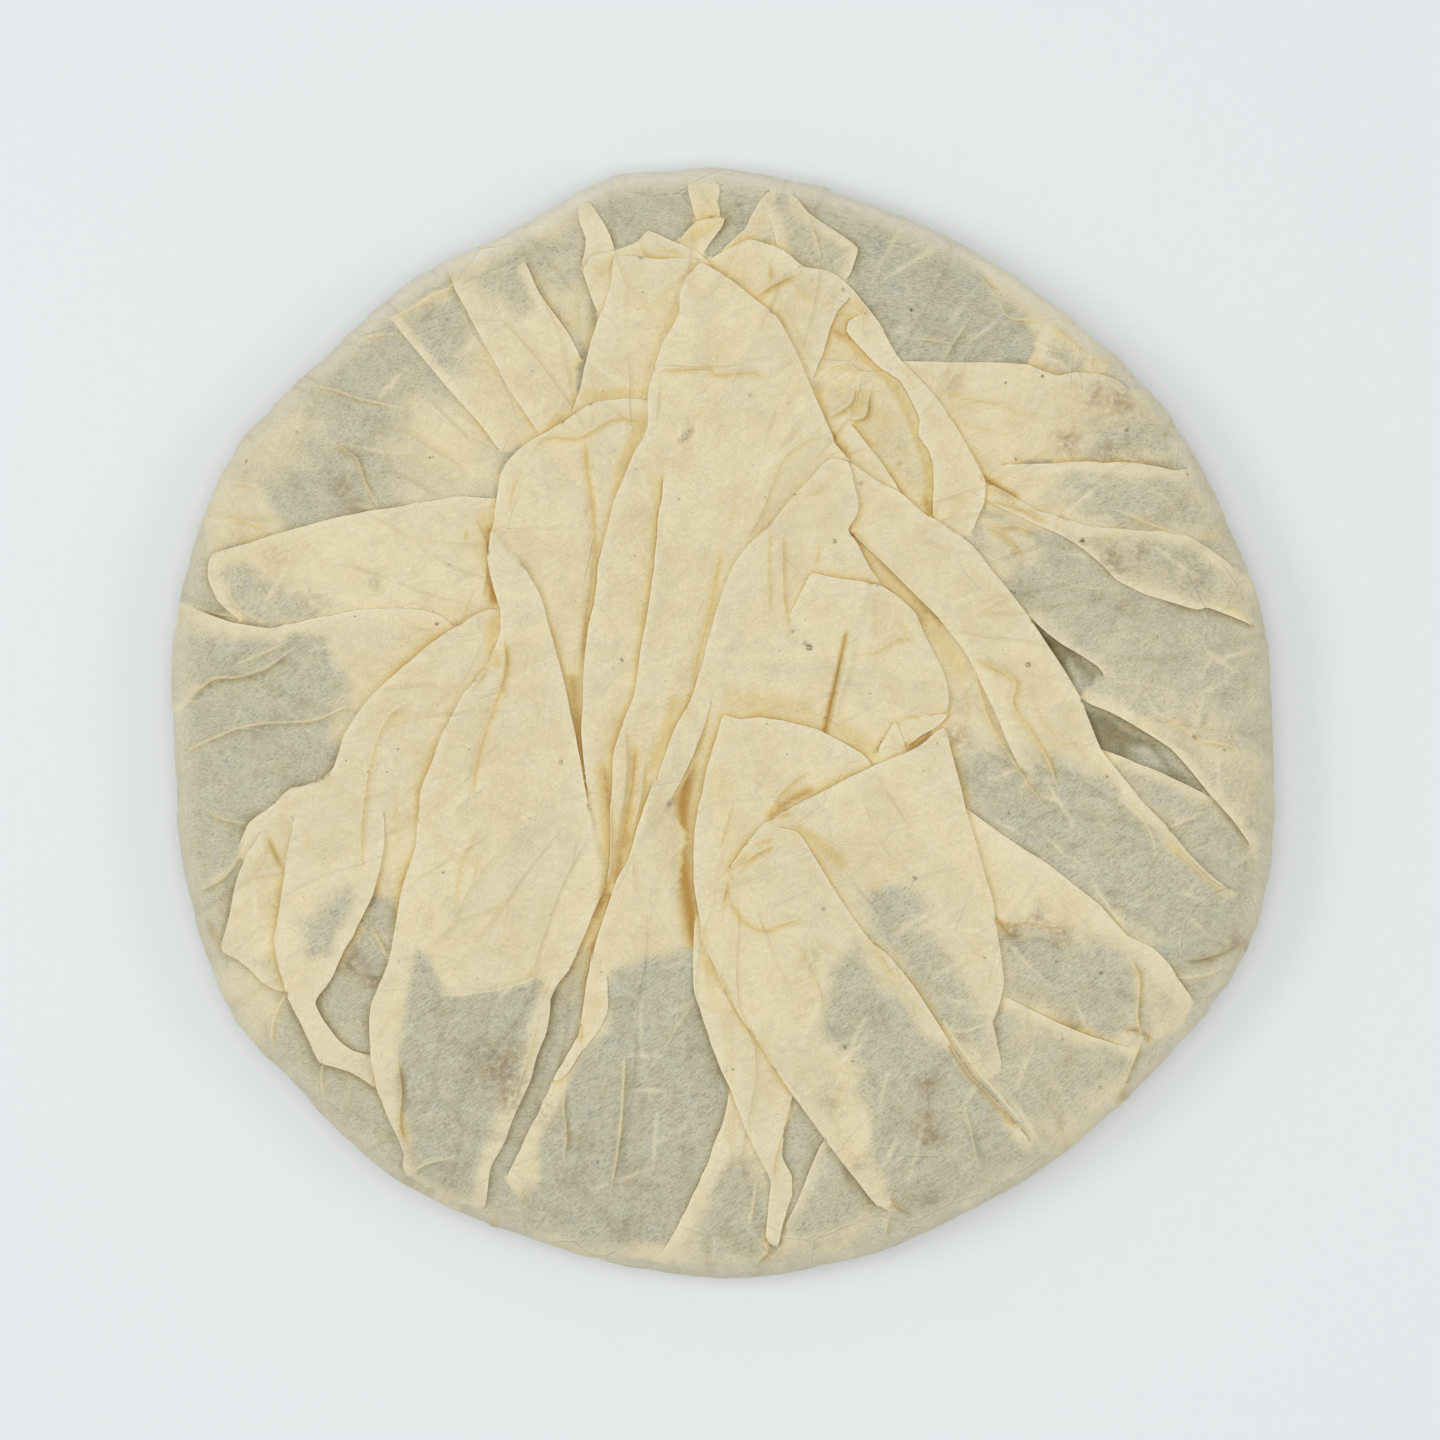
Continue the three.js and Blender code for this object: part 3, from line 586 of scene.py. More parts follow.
def lay_east(paper):
    """The bands and pleats of the right side."""
    paper.leaf(0.5, 9, [(60.5, 76), (58.3, 71), (56.5, 66)],
               [(66, 62), (72, 66), (70, 69)], veil=0.2, grain=10, edge_width=2.6)
    paper.window([(60, 72), (60, 66), (68, 65), (69, 68), (64, 71)], 0.7, 2.5)
    lay(paper.crease,
        ([(60, 75), (64, 71.5), (68, 68)], 0.3, 0.5, 0.25),
        ([(68.5, 65), (68.5, 68), (75, 65.5)], 0.25, 0.5, 0.3))
    paper.leaf(0.9, 15,
               [(78, 61.5), (70, 64.7), (65, 65.2), (62, 64.5), (59, 65.5), (56, 66.5), (33, 67)],
               [(36, 56), (50, 50), (72, 47), (86, 50)], grain=10, hatch=12, gap=0.4, gap_width=1.4)
    paper.window([(67, 49), (85, 48), (85, 56), (76, 58), (68, 55)], 0.8, 5)
    lay(paper.spot,
        (72, 50, 2.6, 1.0), (69, 60.5, 2.8, 0.8), (74, 59.8, 3, 0.75), (64, 52, 2.4, 0.9),
        (42.8, 63, 2, 0.45), (53.9, 30.9, 1.6, 0.5))
    lay(paper.crease,
        ([(39, 62), (47, 60), (56, 57.5), (60, 55)], 0.25, 0.1, 0.15),
        ([(42, 57), (47, 55), (55, 53.5)], 0.15, 0, 0.15),
        ([(82.5, 56.5), (82, 52)], 0.2, 0, 0.4))
    paper.leaf(0.6, 10, [(87, 47.5), (84, 47), (80, 47.8), (75, 48.3), (62, 48.2), (51, 48)],
               [(52, 41), (75, 34), (93, 34)], veil=0.1, grain=5, hatch=15, gap=0.45)
    paper.window([(58, 38), (64, 47), (88, 47), (94, 34), (75, 36)], 0.72, 6)
    lay(paper.crease,
        ([(73, 39.5), (79, 37), (85, 35)], 0.35),
        ([(76, 46), (84, 40), (85, 38)], 0.12, 0.2, 0))
    paper.leaf(0.7, 30,
               [(98.5, 26), (94, 29.5), (90, 32.5), (86, 34.7), (80, 35.5), (68, 36.3), (63, 38),
                (58, 39.5), (48, 44.7), (46, 43), (52, 39.6), (58, 36.9), (62, 35.2), (65, 33.5), (70, 29.6),
                (73, 26.5), (78, 24), (83, 22.5), (88, 21), (90, 21.3), (98.5, 18.2)],
               veil=0.5, grain=-15, hatch=-12, gap=0.4, edge_width=1.3)
    lay(paper.window,
        ([(47, 45), (62, 39), (68, 36), (66, 33), (56, 37), (46, 42)], 0.0, 2),
        ([(43, 54), (54, 51), (55, 46), (50, 43.5), (46, 45)], 0.0, 2),
        ([(46, 40), (57, 36.5), (59, 32.5), (52, 27), (47, 33)], 0.3, 3),
        ([(76, 34), (84, 34), (97, 24), (90, 23), (82, 25)], 0.75, 4),
        ([(58, 26), (70, 26), (92, 18), (100, 12), (98, -6), (84, 0), (72, 12), (60, 20)], 0.8, 6),
        # The dark gaps beside the bands have a veil above 1: painted shade, darker than tea under one layer
        ([(56.7, 19.7), (58.7, 17.7), (62.6, 14.3), (70, 9.2), (72.5, 6), (69, 4.5), (66, 6), (62, 10)],
          1.7, 1.2),
        ([(66.9, 3.3), (71, 1.6), (77, -1.3), (81, -3.8), (85.3, -7.8), (89, -12.3), (81, -9),
          (70, -5.5)], 1.5, 1.5),
        ([(76, -5), (79, -4.5), (83, -8), (79, -8)], 0.8, 1.8),
        ([(64.5, 11.5), (71, 8), (73, 5), (68, 4.5), (63.5, 8.5)], 1.05, 2))
    lay(paper.spot,
        (72, 30.5, 2.5, 1.05), (77, 31.5, 2.5, 0.8), (88, 26, 2.2, 0.7), (63.5, 34, 1.6, 0.4),
        (66, 20.5, 3.6, 0.45), (75, 20.3, 3.2, 0.4), (84, 21, 2.2, 0.3))
    lay(paper.shade,
        ([(45.5, 50), (48, 46), (50, 43.8)], 0.45, 1.8),
        ([(57.3, 18.8), (60.5, 13.8)], 1.4, 0.8),
        ([(60.5, 13.8), (64.5, 8)], 0.9, 0.7),
        ([(80, -9.5), (85, -11.5), (88.5, -12.8)], 1.0, 0.6))
    lay(paper.crease,
        ([(48, 38), (51, 36.5), (54, 36.6), (60, 34.6)], 0.25, 0.3, 0.3),
        ([(48, 37), (53, 34), (56, 29.5)], 0.2, 0.2, 0.35),
        ([(48, 41.5), (54, 40.2), (61, 36.6)], 0.3, 0.3, 0.35),
        ([(61, 36.6), (63.5, 38.2)], 0.2),
        ([(90, 23), (95, 21), (99.5, 18.5)], 0.25),
        ([(57, 30), (62, 26.5), (68, 25), (73, 25)], 0.1, 0.2, 0.1))
    paper.leaf(0.6, 10, [(56, 20.5), (60, 16.8), (63, 14.5), (69.5, 10.5), (72.5, 6)],
               [(82, 8), (79, 18), (64, 24)], veil=0.72, grain=70, gap=0.8, gap_width=3.0, edge=0.45)
    paper.leaf(0.8, 12,
               [(66, 4.8), (68, 3.6), (72, 2), (78, -1.5), (83, -4.7), (87, -9), (91, -14), (95, -18.5),
                (98, -22.5), (99.5, -26)],
               [(102, -12), (92, 4), (78, 8), (70, 9)], veil=0.65, grain=65, gap=0.75, gap_width=2.6)
    paper.window([(76, 2), (84, -2), (92, -10), (98, -16), (100, -6), (90, 3)], 0.4, 4)
    paper.crease([(80, 2), (84, 0), (88, -3), (93, -4), (97, -6)], 0.3)
    paper.leaf(0.5, 10, [(90, -13.5), (85, -11), (80, -8.7), (75, -6.7), (69, -4.5)],
               [(76, -16), (86, -24), (96, -26), (96, -21)], veil=0.55, grain=30, gap=0.5)
    paper.window([(77, -10), (86, -13), (95, -20), (97, -28), (86, -22)], 0.85, 4)
    lay(paper.crease,
        ([(82.5, -19.5), (86, -18), (89, -16.5)], 0.3),
        ([(87, -20), (92, -18), (94, -19)], 0.12, 0.25, 0))


def lay_west(paper):
    """The two bands of the left side and the pile of leaves below them."""
    paper.leaf(0.4, 8, [(-101.5, 2), (-97, 6.5), (-94, 8.3), (-90, 8.5), (-85, 10), (-79, 14)],
               [(-82, 20), (-100, 19)], veil=0.8, grain=15, gap=0.4)
    paper.leaf(0.8, 18,
               [(-42, 41.5), (-50, 41.8), (-60, 40.2), (-70, 38.3), (-78, 36.5), (-83, 35.2), (-88, 33.5),
                (-95, 31), (-95.7, 27), (-94, 23), (-90, 19)],
               [(-60, 17), (-40, 20)], grain=20, gap=0.35)
    paper.window([(-91, 20), (-91.5, 27), (-88, 29.5), (-81, 26), (-77, 21), (-84, 18)], 0.75, 3)
    lay(paper.spot,
        (-76, 21.5, 3.2, 0.5), (-64, 26, 1.6, 0.5), (-83, 30.5, 4, 0.3), (-90, 34, 2, 0.3))
    paper.shade([(-43.4, 33), (-43, 28), (-42.5, 22.5)], 1.15, 0.9)
    lay(paper.crease,
        ([(-91.5, 27), (-91.5, 24), (-89.5, 21), (-86, 19)], 0.3),
        ([(-47.6, 36.8), (-48.5, 33)], 0.15, 0, 0.5),
        ([(-49.5, 17.5), (-47.5, 22.5), (-46, 27)], 0.15, 0.2, 0.15))
    paper.furrow([(-44.2, 38), (-43, 31), (-42.6, 22)], 0.5, 1.4, 0.3)
    paper.crease([(-46.5, 38.3), (-45, 35.5), (-43.9, 32.7), (-44.2, 26.5), (-45.3, 22)], 0.25, 0.4, 0.3)
    paper.leaf(0.7, 15,
               [(-48, 16), (-50, 18), (-52, 19.5), (-55, 20.8), (-60, 21.2), (-66, 21), (-72, 20.2),
                (-78, 18.8), (-84, 17.7), (-91, 18.5), (-94, 19.6), (-101, 22.3)],
               [(-102, 9), (-85, 3), (-66, 3), (-52, 8)], grain=15, gap=0.35)
    lay(paper.window,
        ([(-101, 19), (-90, 15.5), (-80, 17), (-73, 15), (-69, 8), (-70, 2), (-102, 2)], 0.9, 4),
        ([(-72, 3), (-66, 4), (-70, -4), (-74, -3)], 0.3, 3))
    lay(paper.crease,
        ([(-100, 3.5), (-97, 6.5), (-94, 8.3), (-90, 8.5), (-85, 10), (-82, 12), (-79.5, 14)], 0.45, 0.5,
          0.35),
        ([(-90, 11), (-86, 12.5), (-81, 15)], 0.2),
        ([(-97, 21.5), (-94, 20.3), (-90, 19.8)], 0.3, 0.5, 0.5))
    paper.leaf(1.1, 17,
               [(-40.5, 21.3), (-44, 21), (-47, 19.5), (-50, 17.5), (-55, 14), (-60, 9.7), (-64, 6),
                (-66.5, 3), (-70, -2), (-71, -6), (-72, -8.5), (-74, -10.3), (-78, -12), (-80, -12.3),
                (-85, -16.5), (-88, -18.7), (-89.8, -22)],
               [(-88, -36), (-72, -46), (-58, -44), (-45, -20), (-40, 0)], grain=70, gap=0.5,
               gap_width=2.0)
    paper.window([(-66, -30), (-60, -31), (-61, -46), (-73, -47), (-68, -38)], 0.9, 2.5)
    paper.shade([(-75.6, -12.6), (-74.2, -13.4)], 0.5, 0.5)
    lay(paper.crease,
        ([(-77.5, -12.4), (-76.2, -12.7), (-73.3, -14.5), (-69.9, -16.3), (-67.2, -18)], 0.35, 0.4, 0.3,
          0.8),
        ([(-73.5, -11), (-72.5, -14)], 0.15, 0.1),
        ([(-57.7, -21.9), (-60, -21.8), (-62.6, -21.4)], 0.25),
        ([(-55.6, -16.4), (-58.4, -16.6)], 0.2, 0.4))
    paper.leaf(0.6, 9,
               [(-85.5, -20.5), (-88, -24), (-89.5, -27), (-91, -32), (-92, -37), (-93.2, -42.5),
                (-90, -44), (-88, -45.5), (-85, -48.5), (-80, -50.5)],
               [(-76, -42), (-79, -26)], veil=0.12, grain=60, gap=0.45, edge=0.5)
    paper.window([(-90, -44), (-84, -44), (-80, -50), (-84, -50)], 0.4, 3)
    lay(paper.crease,
        ([(-85, -20), (-83, -24.5), (-81, -28.5)], 0.3, 0.1, 0.5),
        ([(-85.5, -22.5), (-84.7, -25.3), (-81.5, -28.7)], 0.3, 0.45, 0.15, 0.8),
        ([(-86.9, -29.5), (-84.9, -31.3), (-82.7, -33.8)], 0.2, 0.4, 0.05, 0.8),
        ([(-88.1, -19.3), (-88.7, -22.5), (-91.2, -26.4), (-94, -28.7), (-97.5, -30.6)], 0.3, 0.45, 0.1,
          0.7),
        ([(-96.8, -36), (-94.9, -39.5), (-93.4, -42.6)], 0.35, 0.3, 0.6, 0.8))
    paper.leaf(0.9, 20,
               [(-79.5, -18), (-80.3, -23), (-81, -28), (-82, -34), (-83, -40), (-82, -46), (-80.5, -51),
                (-78, -56), (-74.6, -63.2), (-73, -63.4), (-68.8, -64.8), (-62, -69), (-62, -63),
                (-68.5, -60.9), (-71.3, -58.8), (-73.9, -55.3), (-75.6, -51.9), (-72, -46), (-68, -38),
                (-65, -32), (-63.5, -27), (-62.7, -22), (-63, -17)],
               [(-66, -8), (-74, -10)], grain=75, gap=0.5, gap_width=1.5, edge_width=2.2)
    lay(paper.window,
        ([(-79.5, -36), (-75, -32.5), (-70, -31.5), (-69, -35), (-72, -43.5), (-78.8, -43)], 0.85, 4),
        ([(-73, -57.5), (-66, -58), (-61, -62), (-61, -71), (-70, -67), (-74, -61.5)], 0.8, 2.5))
    lay(paper.spot,
        (-68.4, -44.8, 2.3, 1.1), (-64.4, -47.6, 2.5, 1.1))
    lay(paper.crease,
        ([(-57.5, 4.6), (-61.7, 1.6), (-64.5, -4), (-66.2, -12), (-67, -19), (-67.1, -27.5)], 0.35, 0.4,
          0.2, 0.8),
        ([(-60.5, -10), (-61, -18), (-60, -24)], -0.15, 0, 0.15),
        ([(-68.8, -27.6), (-67, -27.2), (-65.6, -27.3)], 0.15, 0.35, 0.05),
        ([(-81, -50), (-83.5, -55), (-84, -62)], 0.25),
        ([(-74.5, -63), (-74.7, -67), (-74, -71)], 0.3),
        ([(-66.2, -36.6), (-64.3, -39.3), (-61.7, -44.5)], 0.35, 0.5, 0.25, 0.7))


def lay_tongue_and_left_leaf(paper):
    """The round-topped leaf beside the crown, and the large leaf that comes out of it."""
    paper.leaf(1.0, 20,
               [(-12, 60), (-18, 60), (-23, 59.3), (-28, 57), (-31, 55), (-34, 53), (-38, 50.5),
                (-40.5, 48), (-41.7, 45), (-42.1, 41), (-42.6, 37), (-43.4, 33), (-43.5, 30), (-42.5, 26),
                (-41, 21), (-40, 14)],
               [(-26, -8), (-14, 20)], grain=80, gap=0.5, gap_width=1.6)
    lay(paper.shade,
        ([(-15, 56), (-17, 51), (-19, 46)], 0.45, 1.6),
        ([(-22, 34), (-25, 18), (-26, 8)], 0.35, 1.6),
        ([(-28, 8), (-27, 0), (-25.5, -10)], 0.9, 1.3))
    lay(paper.crease,
        ([(-36, 50), (-33, 53), (-27, 53), (-24, 54.5), (-20, 56.5), (-14, 56)], 0.3, 0.3, 0.3),
        ([(-26, 53), (-25.5, 47), (-24.5, 40), (-24, 28), (-25, 20), (-26, 12)], -0.35, 0, 0.35),
        ([(-37, 48), (-39, 44), (-40, 38)], 0.15, 0.1))
    paper.leaf(1.0, 26,
               [(-43, 36), (-43.5, 30), (-42.4, 25), (-41.2, 21), (-41.6, 16), (-43, 12), (-46, 8),
                (-49, 3.5), (-52, -2), (-54, -7), (-56, -13), (-56.3, -18), (-57, -23), (-58.5, -28),
                (-60, -33), (-61.5, -42), (-63, -47), (-65, -52), (-65.5, -55), (-65.5, -59), (-65, -63),
                (-63.5, -69), (-62, -73), (-60, -77), (-59, -80), (-59.2, -84), (-52, -88.5),
                (-45, -90.5), (-44, -88), (-43.5, -85), (-43, -82.5), (-40, -76), (-36.5, -68), (-34.5, -62),
                (-33, -58), (-32.3, -54), (-32, -51), (-28.5, -45.5), (-26.2, -40), (-22.9, -32.3),
                (-21.8, -28), (-23, -24), (-24.9, -16.5), (-25.7, -11.8), (-26.7, -6.2), (-27.7, -0.5),
                (-29, 5), (-30.3, 10), (-32, 17), (-34, 24), (-37, 29)],
               grain=70, gap=0.6, gap_width=1.5, edge_width=2.4)
    lay(paper.window,
        ([(-57.5, -42), (-54.5, -44.5), (-52, -50), (-44, -50.2), (-38, -49), (-33, -46.8), (-31, -50),
          (-29, -60), (-40, -96), (-62, -92), (-60.5, -60)], 1.0, 2.5),
        ([(-44, -12), (-28, -14), (-25, -26), (-38, -32), (-46, -24)], 0.2, 8),
        ([(-52, -30), (-44, -34), (-46, -42), (-54, -38)], 0.22, 6))
    lay(paper.spot,
        (-41, -64, 4.5, 1.0), (-39.6, -69, 3.2, 0.9), (-45.5, -61, 2.8, 0.6), (-50, -85, 3, 0.45),
        (-57, -80, 2, 0.3))
    paper.shade([(-42.5, 19), (-43, 14), (-42, 11)], 0.5, 1.2)
    lay(paper.crease,
        ([(-52.4, -50), (-48, -50.3), (-43.9, -49.7), (-38, -48.4), (-33.4, -46.6)], 0.25, 0.4, 0.05,
          0.8),
        ([(-40.5, 13), (-41, 8), (-42, 5), (-44.5, -2), (-46, -8), (-46.8, -14)], -0.3, 0, 0.32),
        ([(-40.8, 16), (-40.3, 11), (-41.2, 7), (-41.5, 4)], 0.3, 0.2, 0.5),
        ([(-43, 12.5), (-44.5, 9.5), (-47, 6)], 0.3, 0.3, 0.3),
        ([(-45, -18), (-49, -27), (-50, -36)], 0.15, 0, 0.18),
        ([(-34.5, -55), (-36, -61), (-38.5, -69)], 0.2),
        ([(-60.5, -62), (-59.5, -68), (-59.8, -74), (-58.4, -79)], 0.3, 0.5, 0.5),
        ([(-59, -84), (-55, -81.5), (-50, -80.5)], 0.25),
        ([(-44, -90), (-42, -93), (-39.5, -95)], 0.3, 0.5, 0.3),
        ([(-52, 4), (-51, -2), (-53, -10)], 0.1, 0, 0.1),
        ([(-25.3, -15), (-28, -24), (-28.5, -30)], 0.12, 0.2, 0.1))


def lay_bottom(paper):
    """The panels and strips below the middle."""
    gap_side = [(-22.3, -36.8), (-23.5, -40.2), (-24.2, -43), (-25.2, -47.6), (-25.8, -52), (-26.3, -56),
                (-28.2, -60.5)]
    paper.leaf(0.8, 12,
               [(-20.6, -28), (-20.9, -31.5)] + gap_side + [(-31, -65.5), (-36, -76), (-40.5, -84.5)],
               [(-34, -97), (-10, -101), (0, -80), (0, -60), (-4, -30), (-12, -20)], grain=30, gap=0.35,
               edge_width=2.2, edge=0.85)
    lay(paper.window,
        ([(-20, -46), (-14, -43), (-4, -41), (2, -60), (2, -100), (-42, -96), (-34, -80), (-27, -62),
          (-21, -56)], 1.0, 3),
        ([(-16, -24), (-10, -24), (-8, -38), (-16, -40)], 0.25, 5))
    lay(paper.spot,
        (-34, -72, 3.2, 0.55), (-26, -78, 2.2, 0.4), (-28, -85, 3, 0.4), (-18, -84, 3, 0.45),
        (-18, -95, 3, 0.4), (-37, -88, 2.4, 0.4), (-4.5, -55, 1.4, 0.4))
    paper.leaf(0.5, 30,
               gap_side + [(-31.2, -66.5), (-29.6, -65.9), (-26.3, -60.9), (-23.5, -57.3), (-21.8, -54.6),
                (-21.3, -52.5), (-21.6, -46.5)],
               [(-20, -36)], grain=80, gap=0.25)
    paper.shade([(-8.5, -14), (-9, -24), (-8, -32)], 0.6, 1.6)
    lay(paper.crease,
        ([(-26.7, -52), (-26.6, -57), (-26.5, -61)], 0.25, 0.3, 0.35),
        ([(-29.3, -67), (-29.5, -72), (-29, -76), (-29.6, -81)], 0.3, 0.5, 0.35),
        ([(-18.3, -62), (-18.5, -68), (-19, -75), (-20, -82), (-21, -87)], 0.45, 0.7),
        ([(-5.5, -52), (-9, -57), (-11, -61)], 0.3, 0.4, 0.1))
    paper.furrow([(-6.5, -8), (-7.4, -16), (-7.6, -24), (-6.4, -33), (-5.2, -40)], 1.2, 1.8, 1.1)
    paper.leaf(0.5, 10, [(1.5, -67), (0, -74), (-2, -80), (-5, -87), (-8, -93), (-12, -100)],
               [(4, -101), (9, -98), (8, -84), (6, -68)], veil=0.2, grain=60, gap=0.4, edge_width=3)
    paper.window([(-1, -84), (5, -82), (8, -90), (8, -100), (-6, -100), (-4, -92)], 0.85, 4)
    lay(paper.crease,
        ([(6, -85), (5.5, -90), (4.5, -94)], 0.25),
        ([(0, -76), (2, -80), (3, -83)], 0.12, 0.2, 0),
        ([(-2, -95), (-1.5, -98), (-3, -101)], 0.15, 0.3, 0))
    paper.leaf(0.5, 10, [(9.5, -99.5), (10.5, -98), (12, -92.5), (15, -86), (18.5, -78), (20, -74)],
               [(30, -88), (24, -99)], veil=0.85, grain=85, gap=0.45, edge=0.5)
    paper.window([(10, -99), (24, -98), (30, -92), (20, -93)], 0.4, 3)
    paper.leaf(0.7, 20,
               [(-5, -36), (-5.6, -42), (-5.2, -50), (-4, -54), (-2, -60), (0, -65), (1.5, -68), (3, -72),
                (5, -77), (7, -81), (8.7, -84.3), (8.5, -90), (8.2, -96), (10, -97.2), (11.6, -92),
                (12.8, -87.5), (12.6, -84), (11, -80.5), (11.2, -75), (13.5, -67)],
               [(8, -52), (0, -38)], grain=60, gap=0.45, edge_width=3)
    paper.window([(11, -86), (13, -84), (13, -88), (11, -94)], 0.5, 1.5)
    paper.spot(9.2, -97, 1.2, 0.35)
    lay(paper.crease,
        ([(13.1, -69.4), (11.5, -74.5), (9.9, -79), (9.2, -82), (9.3, -86)], 0.25, 0.4, 0.25),
        ([(7.4, -94.5), (8, -97.5), (9, -99.6), (10.4, -98)], 0.25, 0.5, 0.3),
        ([(-4.8, -42), (-3.3, -45), (-3.3, -49)], 0.2, 0.2, 0.3),
        ([(8, -95), (8.2, -98), (6.5, -100), (5.8, -102)], 0.3, 0.6, 0.4))


def lay_right_of_crown(paper):
    """The crumpled ochre panel between the crown leaf and its raised border."""
    outer = [(46.2, 34.5), (47, 37.5), (48.2, 41), (48.3, 45), (46.5, 49), (43, 55), (40, 59.5), (36, 64),
             (33, 67), (31, 70), (29, 74), (26, 78), (24, 80.5)]
    paper.leaf(0.7, 30,
               outer + [(21, 83), (19, 84), (15, 84.5), (12, 87), (9, 88.5), (5, 89.5), (2, 88.5),
                (-2.5, 86)],
               [(5, 70), (18, 48), (36, 36)], grain=50, gap=0.5, gap_width=1.8)
    paper.window([(28, 56), (35, 54), (37.5, 44), (33.5, 44), (28, 51)], 0.32, 3)
    lay(paper.shade,
        ([(17.6, 62), (18, 59.5), (19, 57.4)], 0.5, 1.1),
        ([(26, 61.5), (25.6, 58.8), (24.4, 57.6)], 0.4, 0.8),
        ([(24, 55.5), (26, 53.2), (27.5, 51.5)], 0.6, 0.9),
        ([(20.4, 73), (22, 71.8), (24, 71)], 0.8, 0.9),
        ([(23.5, 70.2), (27.5, 66), (31.3, 62.4), (33.6, 58.3), (35.2, 54.3), (36.6, 50.8), (37.8, 46.5),
          (37.8, 41), (38.2, 39)], 0.55, 0.7))
    paper.furrow([(22, 68), (26, 60), (31, 50), (36, 42)], 1.0, 4.5, 0.16)
    lay(paper.crease,
        ([(5, 78.5), (8, 80.3), (11.5, 82.2), (14, 83.6)], 0.5, 0.3, 0.6, 1.2),
        ([(8.3, 86), (8.4, 82), (7.5, 80)], 0.4, 0.2, 0.35, 1.0))
    paper.crumpled([(2, 84), (12, 84), (22, 78), (22, 72), (30, 62), (37, 50), (37, 40), (27, 52),
                    (21, 56), (16, 66), (10, 77)], 0.7, 7, 91)
    lay(paper.crease,
        ([(26.8, 62.2), (24.3, 61.6), (23.9, 59.7), (22.2, 58.2), (18.8, 56.5)], 0.8, 0.55, 0.5, 1.1),
        ([(27.5, 62.7), (26.8, 59.7), (26.4, 57.1), (25.1, 56.3), (22.6, 56.7)], 0.7, 0.5, 0.55, 1.0),
        ([(17.5, 64), (21, 66.5), (25.5, 65), (27.5, 62.7)], 0.3, 0.3, 0.2, 0.8),
        ([(19, 60), (22, 61.5), (24.3, 61.6)], 0.25, 0.2, 0.3, 0.8),
        ([(29, 60), (32, 56), (36, 53.5)], 0.25, 0.25, 0.15, 0.8),
        ([(30.5, 52.5), (33, 51), (37, 49.5)], -0.2, 0, 0.2, 0.8))

    # The flat piece beside the crown, the border strip over the hollow and the small triangle below
    paper.leaf(0.6, 9,
               [(24.7, 79.7), (21.3, 76.7), (19.8, 73.7), (18.8, 69.9), (17.1, 64.8), (16.4, 62.9)],
               [(12, 64), (6, 78), (12, 81), (18, 81.5)], grain=70, gap=0.6)
    lay(paper.crease,
        ([(11.5, 82.2), (14.5, 79.6), (18, 77.1)], 0.4, 0.3, 0.25, 1.0),
        ([(10, 79), (13, 73), (16.5, 66)], 0.25, 0.15, 0.15, 1.0))
    paper.leaf(0.6, 9,
               [(26.2, 75.8), (23.4, 74.1), (23.1, 72.4), (25.6, 69.5), (29, 65.9), (32.8, 63.4),
                (34.9, 59.7), (36.6, 55.9), (36.3, 53.3), (38.3, 50.3), (39.2, 46.9), (39, 42.7),
                (38.9, 37.5)],
               [(44.6, 35), (45.5, 38), (46.6, 41.5), (46.6, 44.8), (45, 48.3), (41.6, 54), (38.6, 58.4),
               (34.8, 62.8), (31.6, 66), (29.4, 69.2), (27.3, 73.2)], grain=-60, gap=0.5, gap_width=1.3)
    paper.shade([(25.4, 78.3), (26, 76)], 0.4, 1.2)
    lay(paper.crease,
        ([(31, 67), (33.5, 65), (36, 61)], 0.2, 0.15, 0.15),
        ([(39.3, 47), (42, 47.6), (45, 47.2)], 0.15, 0.3, 0.1))
    paper.leaf(0.5, 12, [(22.6, 57), (25.6, 52.9), (29, 48.6), (32.8, 43.1), (34.5, 40.5)],
               [(30, 40), (24, 44), (19.5, 52)], grain=-50, gap=0.45)
    lay(paper.shade,
        ([(20.2, 53.6), (21.8, 51.6), (23.4, 49.9)], 1.1, 0.6),
        ([(37.6, 41.5), (38.4, 38.8)], 0.9, 1.0),
        ([(48.5, 45.5), (51, 43.6), (54, 42)], 1.1, 0.8))
    paper.crease([(22.5, 56.2), (21.2, 54.5), (20.4, 53.5)], 0.3, 0.3, 0.5)


def lay_crown_neighbours(paper):
    """The collar and the tall panel to the left of the crown leaf."""
    paper.leaf(0.5, 20,
               [(-2, 85.3), (-3.5, 86.3), (-5, 87.5), (-9, 89.2), (-14, 91.5), (-16.5, 89), (-20, 87.5),
                (-24, 86.5), (-26, 84), (-25, 81), (-23, 75.5)],
               [(-12, 70)], grain=20, gap=0.35)
    lay(paper.crease,
        ([(-15.5, 90), (-15, 87.5), (-12, 86.6), (-6, 86.3)], 0.2, 0.1, 0.3),
        ([(-13, 88.5), (-9, 87.5), (-6, 86.8)], 0.2, 0.1, 0.25),
        ([(-24, 83.5), (-21.5, 83), (-20.5, 82)], 0.2, 0.1, 0.25),
        ([(-26, 85), (-22, 84.5), (-20.5, 85.5)], 0.2, 0.2))
    paper.leaf(0.7, 30,
               [(-4.5, 85.8), (-12, 85.7), (-19.8, 86.2), (-20.4, 83), (-21, 80), (-23, 75), (-25, 68),
                (-26.7, 61.5), (-28.6, 56)],
               [(-14, 52), (-4, 76)], grain=10, gap=0.4)
    lay(paper.shade,
        ([(-26, 60.5), (-20, 61), (-14.5, 61.5)], 0.4, 1.4),
        ([(-8.5, 77), (-11, 71), (-13.5, 65)], 0.3, 1.8))
    lay(paper.crease,
        ([(-20, 79), (-16, 77.5), (-9, 76)], 0.12, 0, 0.1),
        ([(-20, 71), (-16, 73), (-10, 72)], 0.1, 0, 0.08))


